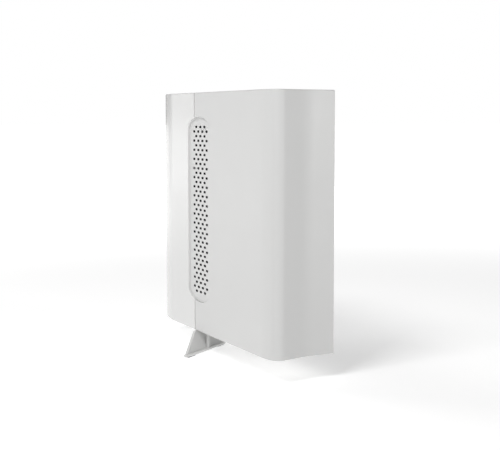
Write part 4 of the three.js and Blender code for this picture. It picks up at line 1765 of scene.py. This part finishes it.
@dataclass
class Studio:
    """Camera, floor and light."""

    eye: tuple[float, float, float] = (0.8892, -0.4019, 0.1971)
    yaw: float = 155.015
    pitch: float = -5.215
    lens: float = 84.51
    middle: tuple[float, float, float] = (0.0, 0.0, 0.11)
    floor_size: float = 60.0
    floor_fade: Point = (0.45, 1.6)  # metres from the middle, where the floor turns to white light
    floor_glow: float = 0.5
    boxes: tuple[Softbox, ...] = (
        Softbox("front_box", -60.0, 50.0, 2.4, 0.9, 0.9, 29.5),
        Softbox("side_box", -150.0, 50.0, 2.4, 0.9, 0.9, 10.0),
        Softbox("end_strip", 32.0, 8.0, 2.4, 0.36, 1.8, 11.7),
        Softbox("cover_strip", -160.0, 8.0, 2.4, 0.36, 1.8, 1.9),
        Softbox("nose_strip", 178.0, 8.0, 2.4, 0.6, 1.8, 0.8),
        Softbox("rear_strip", 150.0, 8.0, 2.4, 0.36, 1.8, 1.0),
    )
    ambient: float = 0.08
    backdrop: str = "ffffff"

    def camera(self) -> None:
        """Sets the camera and makes it the scene's."""
        lens = bpy.data.cameras.new("camera")
        lens.sensor_width = 36.0
        lens.lens = self.lens
        lens.clip_start = 0.01
        lens.clip_end = 200.0
        thing = bpy.data.objects.new("camera", lens)
        thing.location = self.eye
        thing.rotation_euler = direction(self.yaw, self.pitch).to_track_quat("-Z", "Y").to_euler()
        bpy.context.scene.collection.objects.link(thing)
        bpy.context.scene.camera = thing

    def floor(self) -> None:
        """Lays the pale floor."""
        base = bmesh.new()
        bmesh.ops.create_grid(base, x_segments=1, y_segments=1, size=self.floor_size / 2)
        thing = scratch_object(base)
        thing.name = "floor"
        made = bpy.data.materials.new("painted_studio_floor")
        made.use_nodes = True
        tree = made.node_tree
        tree.nodes.clear()
        place = add(tree, "ShaderNodeTexCoord")
        reach = add(tree, "ShaderNodeVectorMath", {"operation": "LENGTH"}, links={0: (place, "Object")})
        near, far = self.floor_fade
        glow = add(
            tree,
            "ShaderNodeMapRange",
            {"interpolation_type": "SMOOTHSTEP"},
            {"From Min": near, "From Max": far, "To Min": self.floor_glow, "To Max": 1.0},
            {"Value": (reach, "Value")},
        )
        shader = add(
            tree,
            "ShaderNodeBsdfPrincipled",
            values={
                "Base Color": linear("ececec"),
                "Roughness": 0.9,
                "Emission Color": linear(self.backdrop),
            },
            links={"Emission Strength": (glow, 0)},
        )
        add(tree, "ShaderNodeOutputMaterial", links={"Surface": (shader, 0)})
        thing.data.materials.append(made)

    def sky(self) -> None:
        """Fills the room with soft light and a white distance."""
        world = bpy.data.worlds.new("studio_room")
        bpy.context.scene.world = world
        world.use_nodes = True
        tree = world.node_tree
        tree.nodes.clear()
        path = add(tree, "ShaderNodeLightPath")
        white = linear(self.backdrop)
        room = add(tree, "ShaderNodeBackground", values={"Color": white, "Strength": self.ambient})
        seen = add(tree, "ShaderNodeBackground", values={"Color": white})
        mix = add(
            tree,
            "ShaderNodeMixShader",
            links={0: (path, "Is Camera Ray"), 1: (room, 0), 2: (seen, 0)},
        )
        add(tree, "ShaderNodeOutputWorld", links={"Surface": (mix, 0)})

    def build(self) -> None:
        """Sets up the whole studio."""
        self.camera()
        self.floor()
        self.sky()
        for box in self.boxes:
            box.build(Vector(self.middle))
        settings = bpy.context.scene.view_settings
        settings.view_transform = "Standard"
        settings.look = "None"


def main() -> None:
    """Builds the studio and every piece."""
    logging.basicConfig(level=logging.INFO, format="%(name)s: %(message)s")
    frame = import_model()
    Studio().build()
    Inside().build(frame["nodes"])
    Enclosure().build()
    Vent().build()
    Leg("leg_front", 68.0, 0.0).build()
    Leg("leg_rear", 47.0, 180.0).build()
    Screws().build()
    RearPanel().build()
    Sockets().build()
    Buttons().build()


if __name__ == "__main__":
    main()
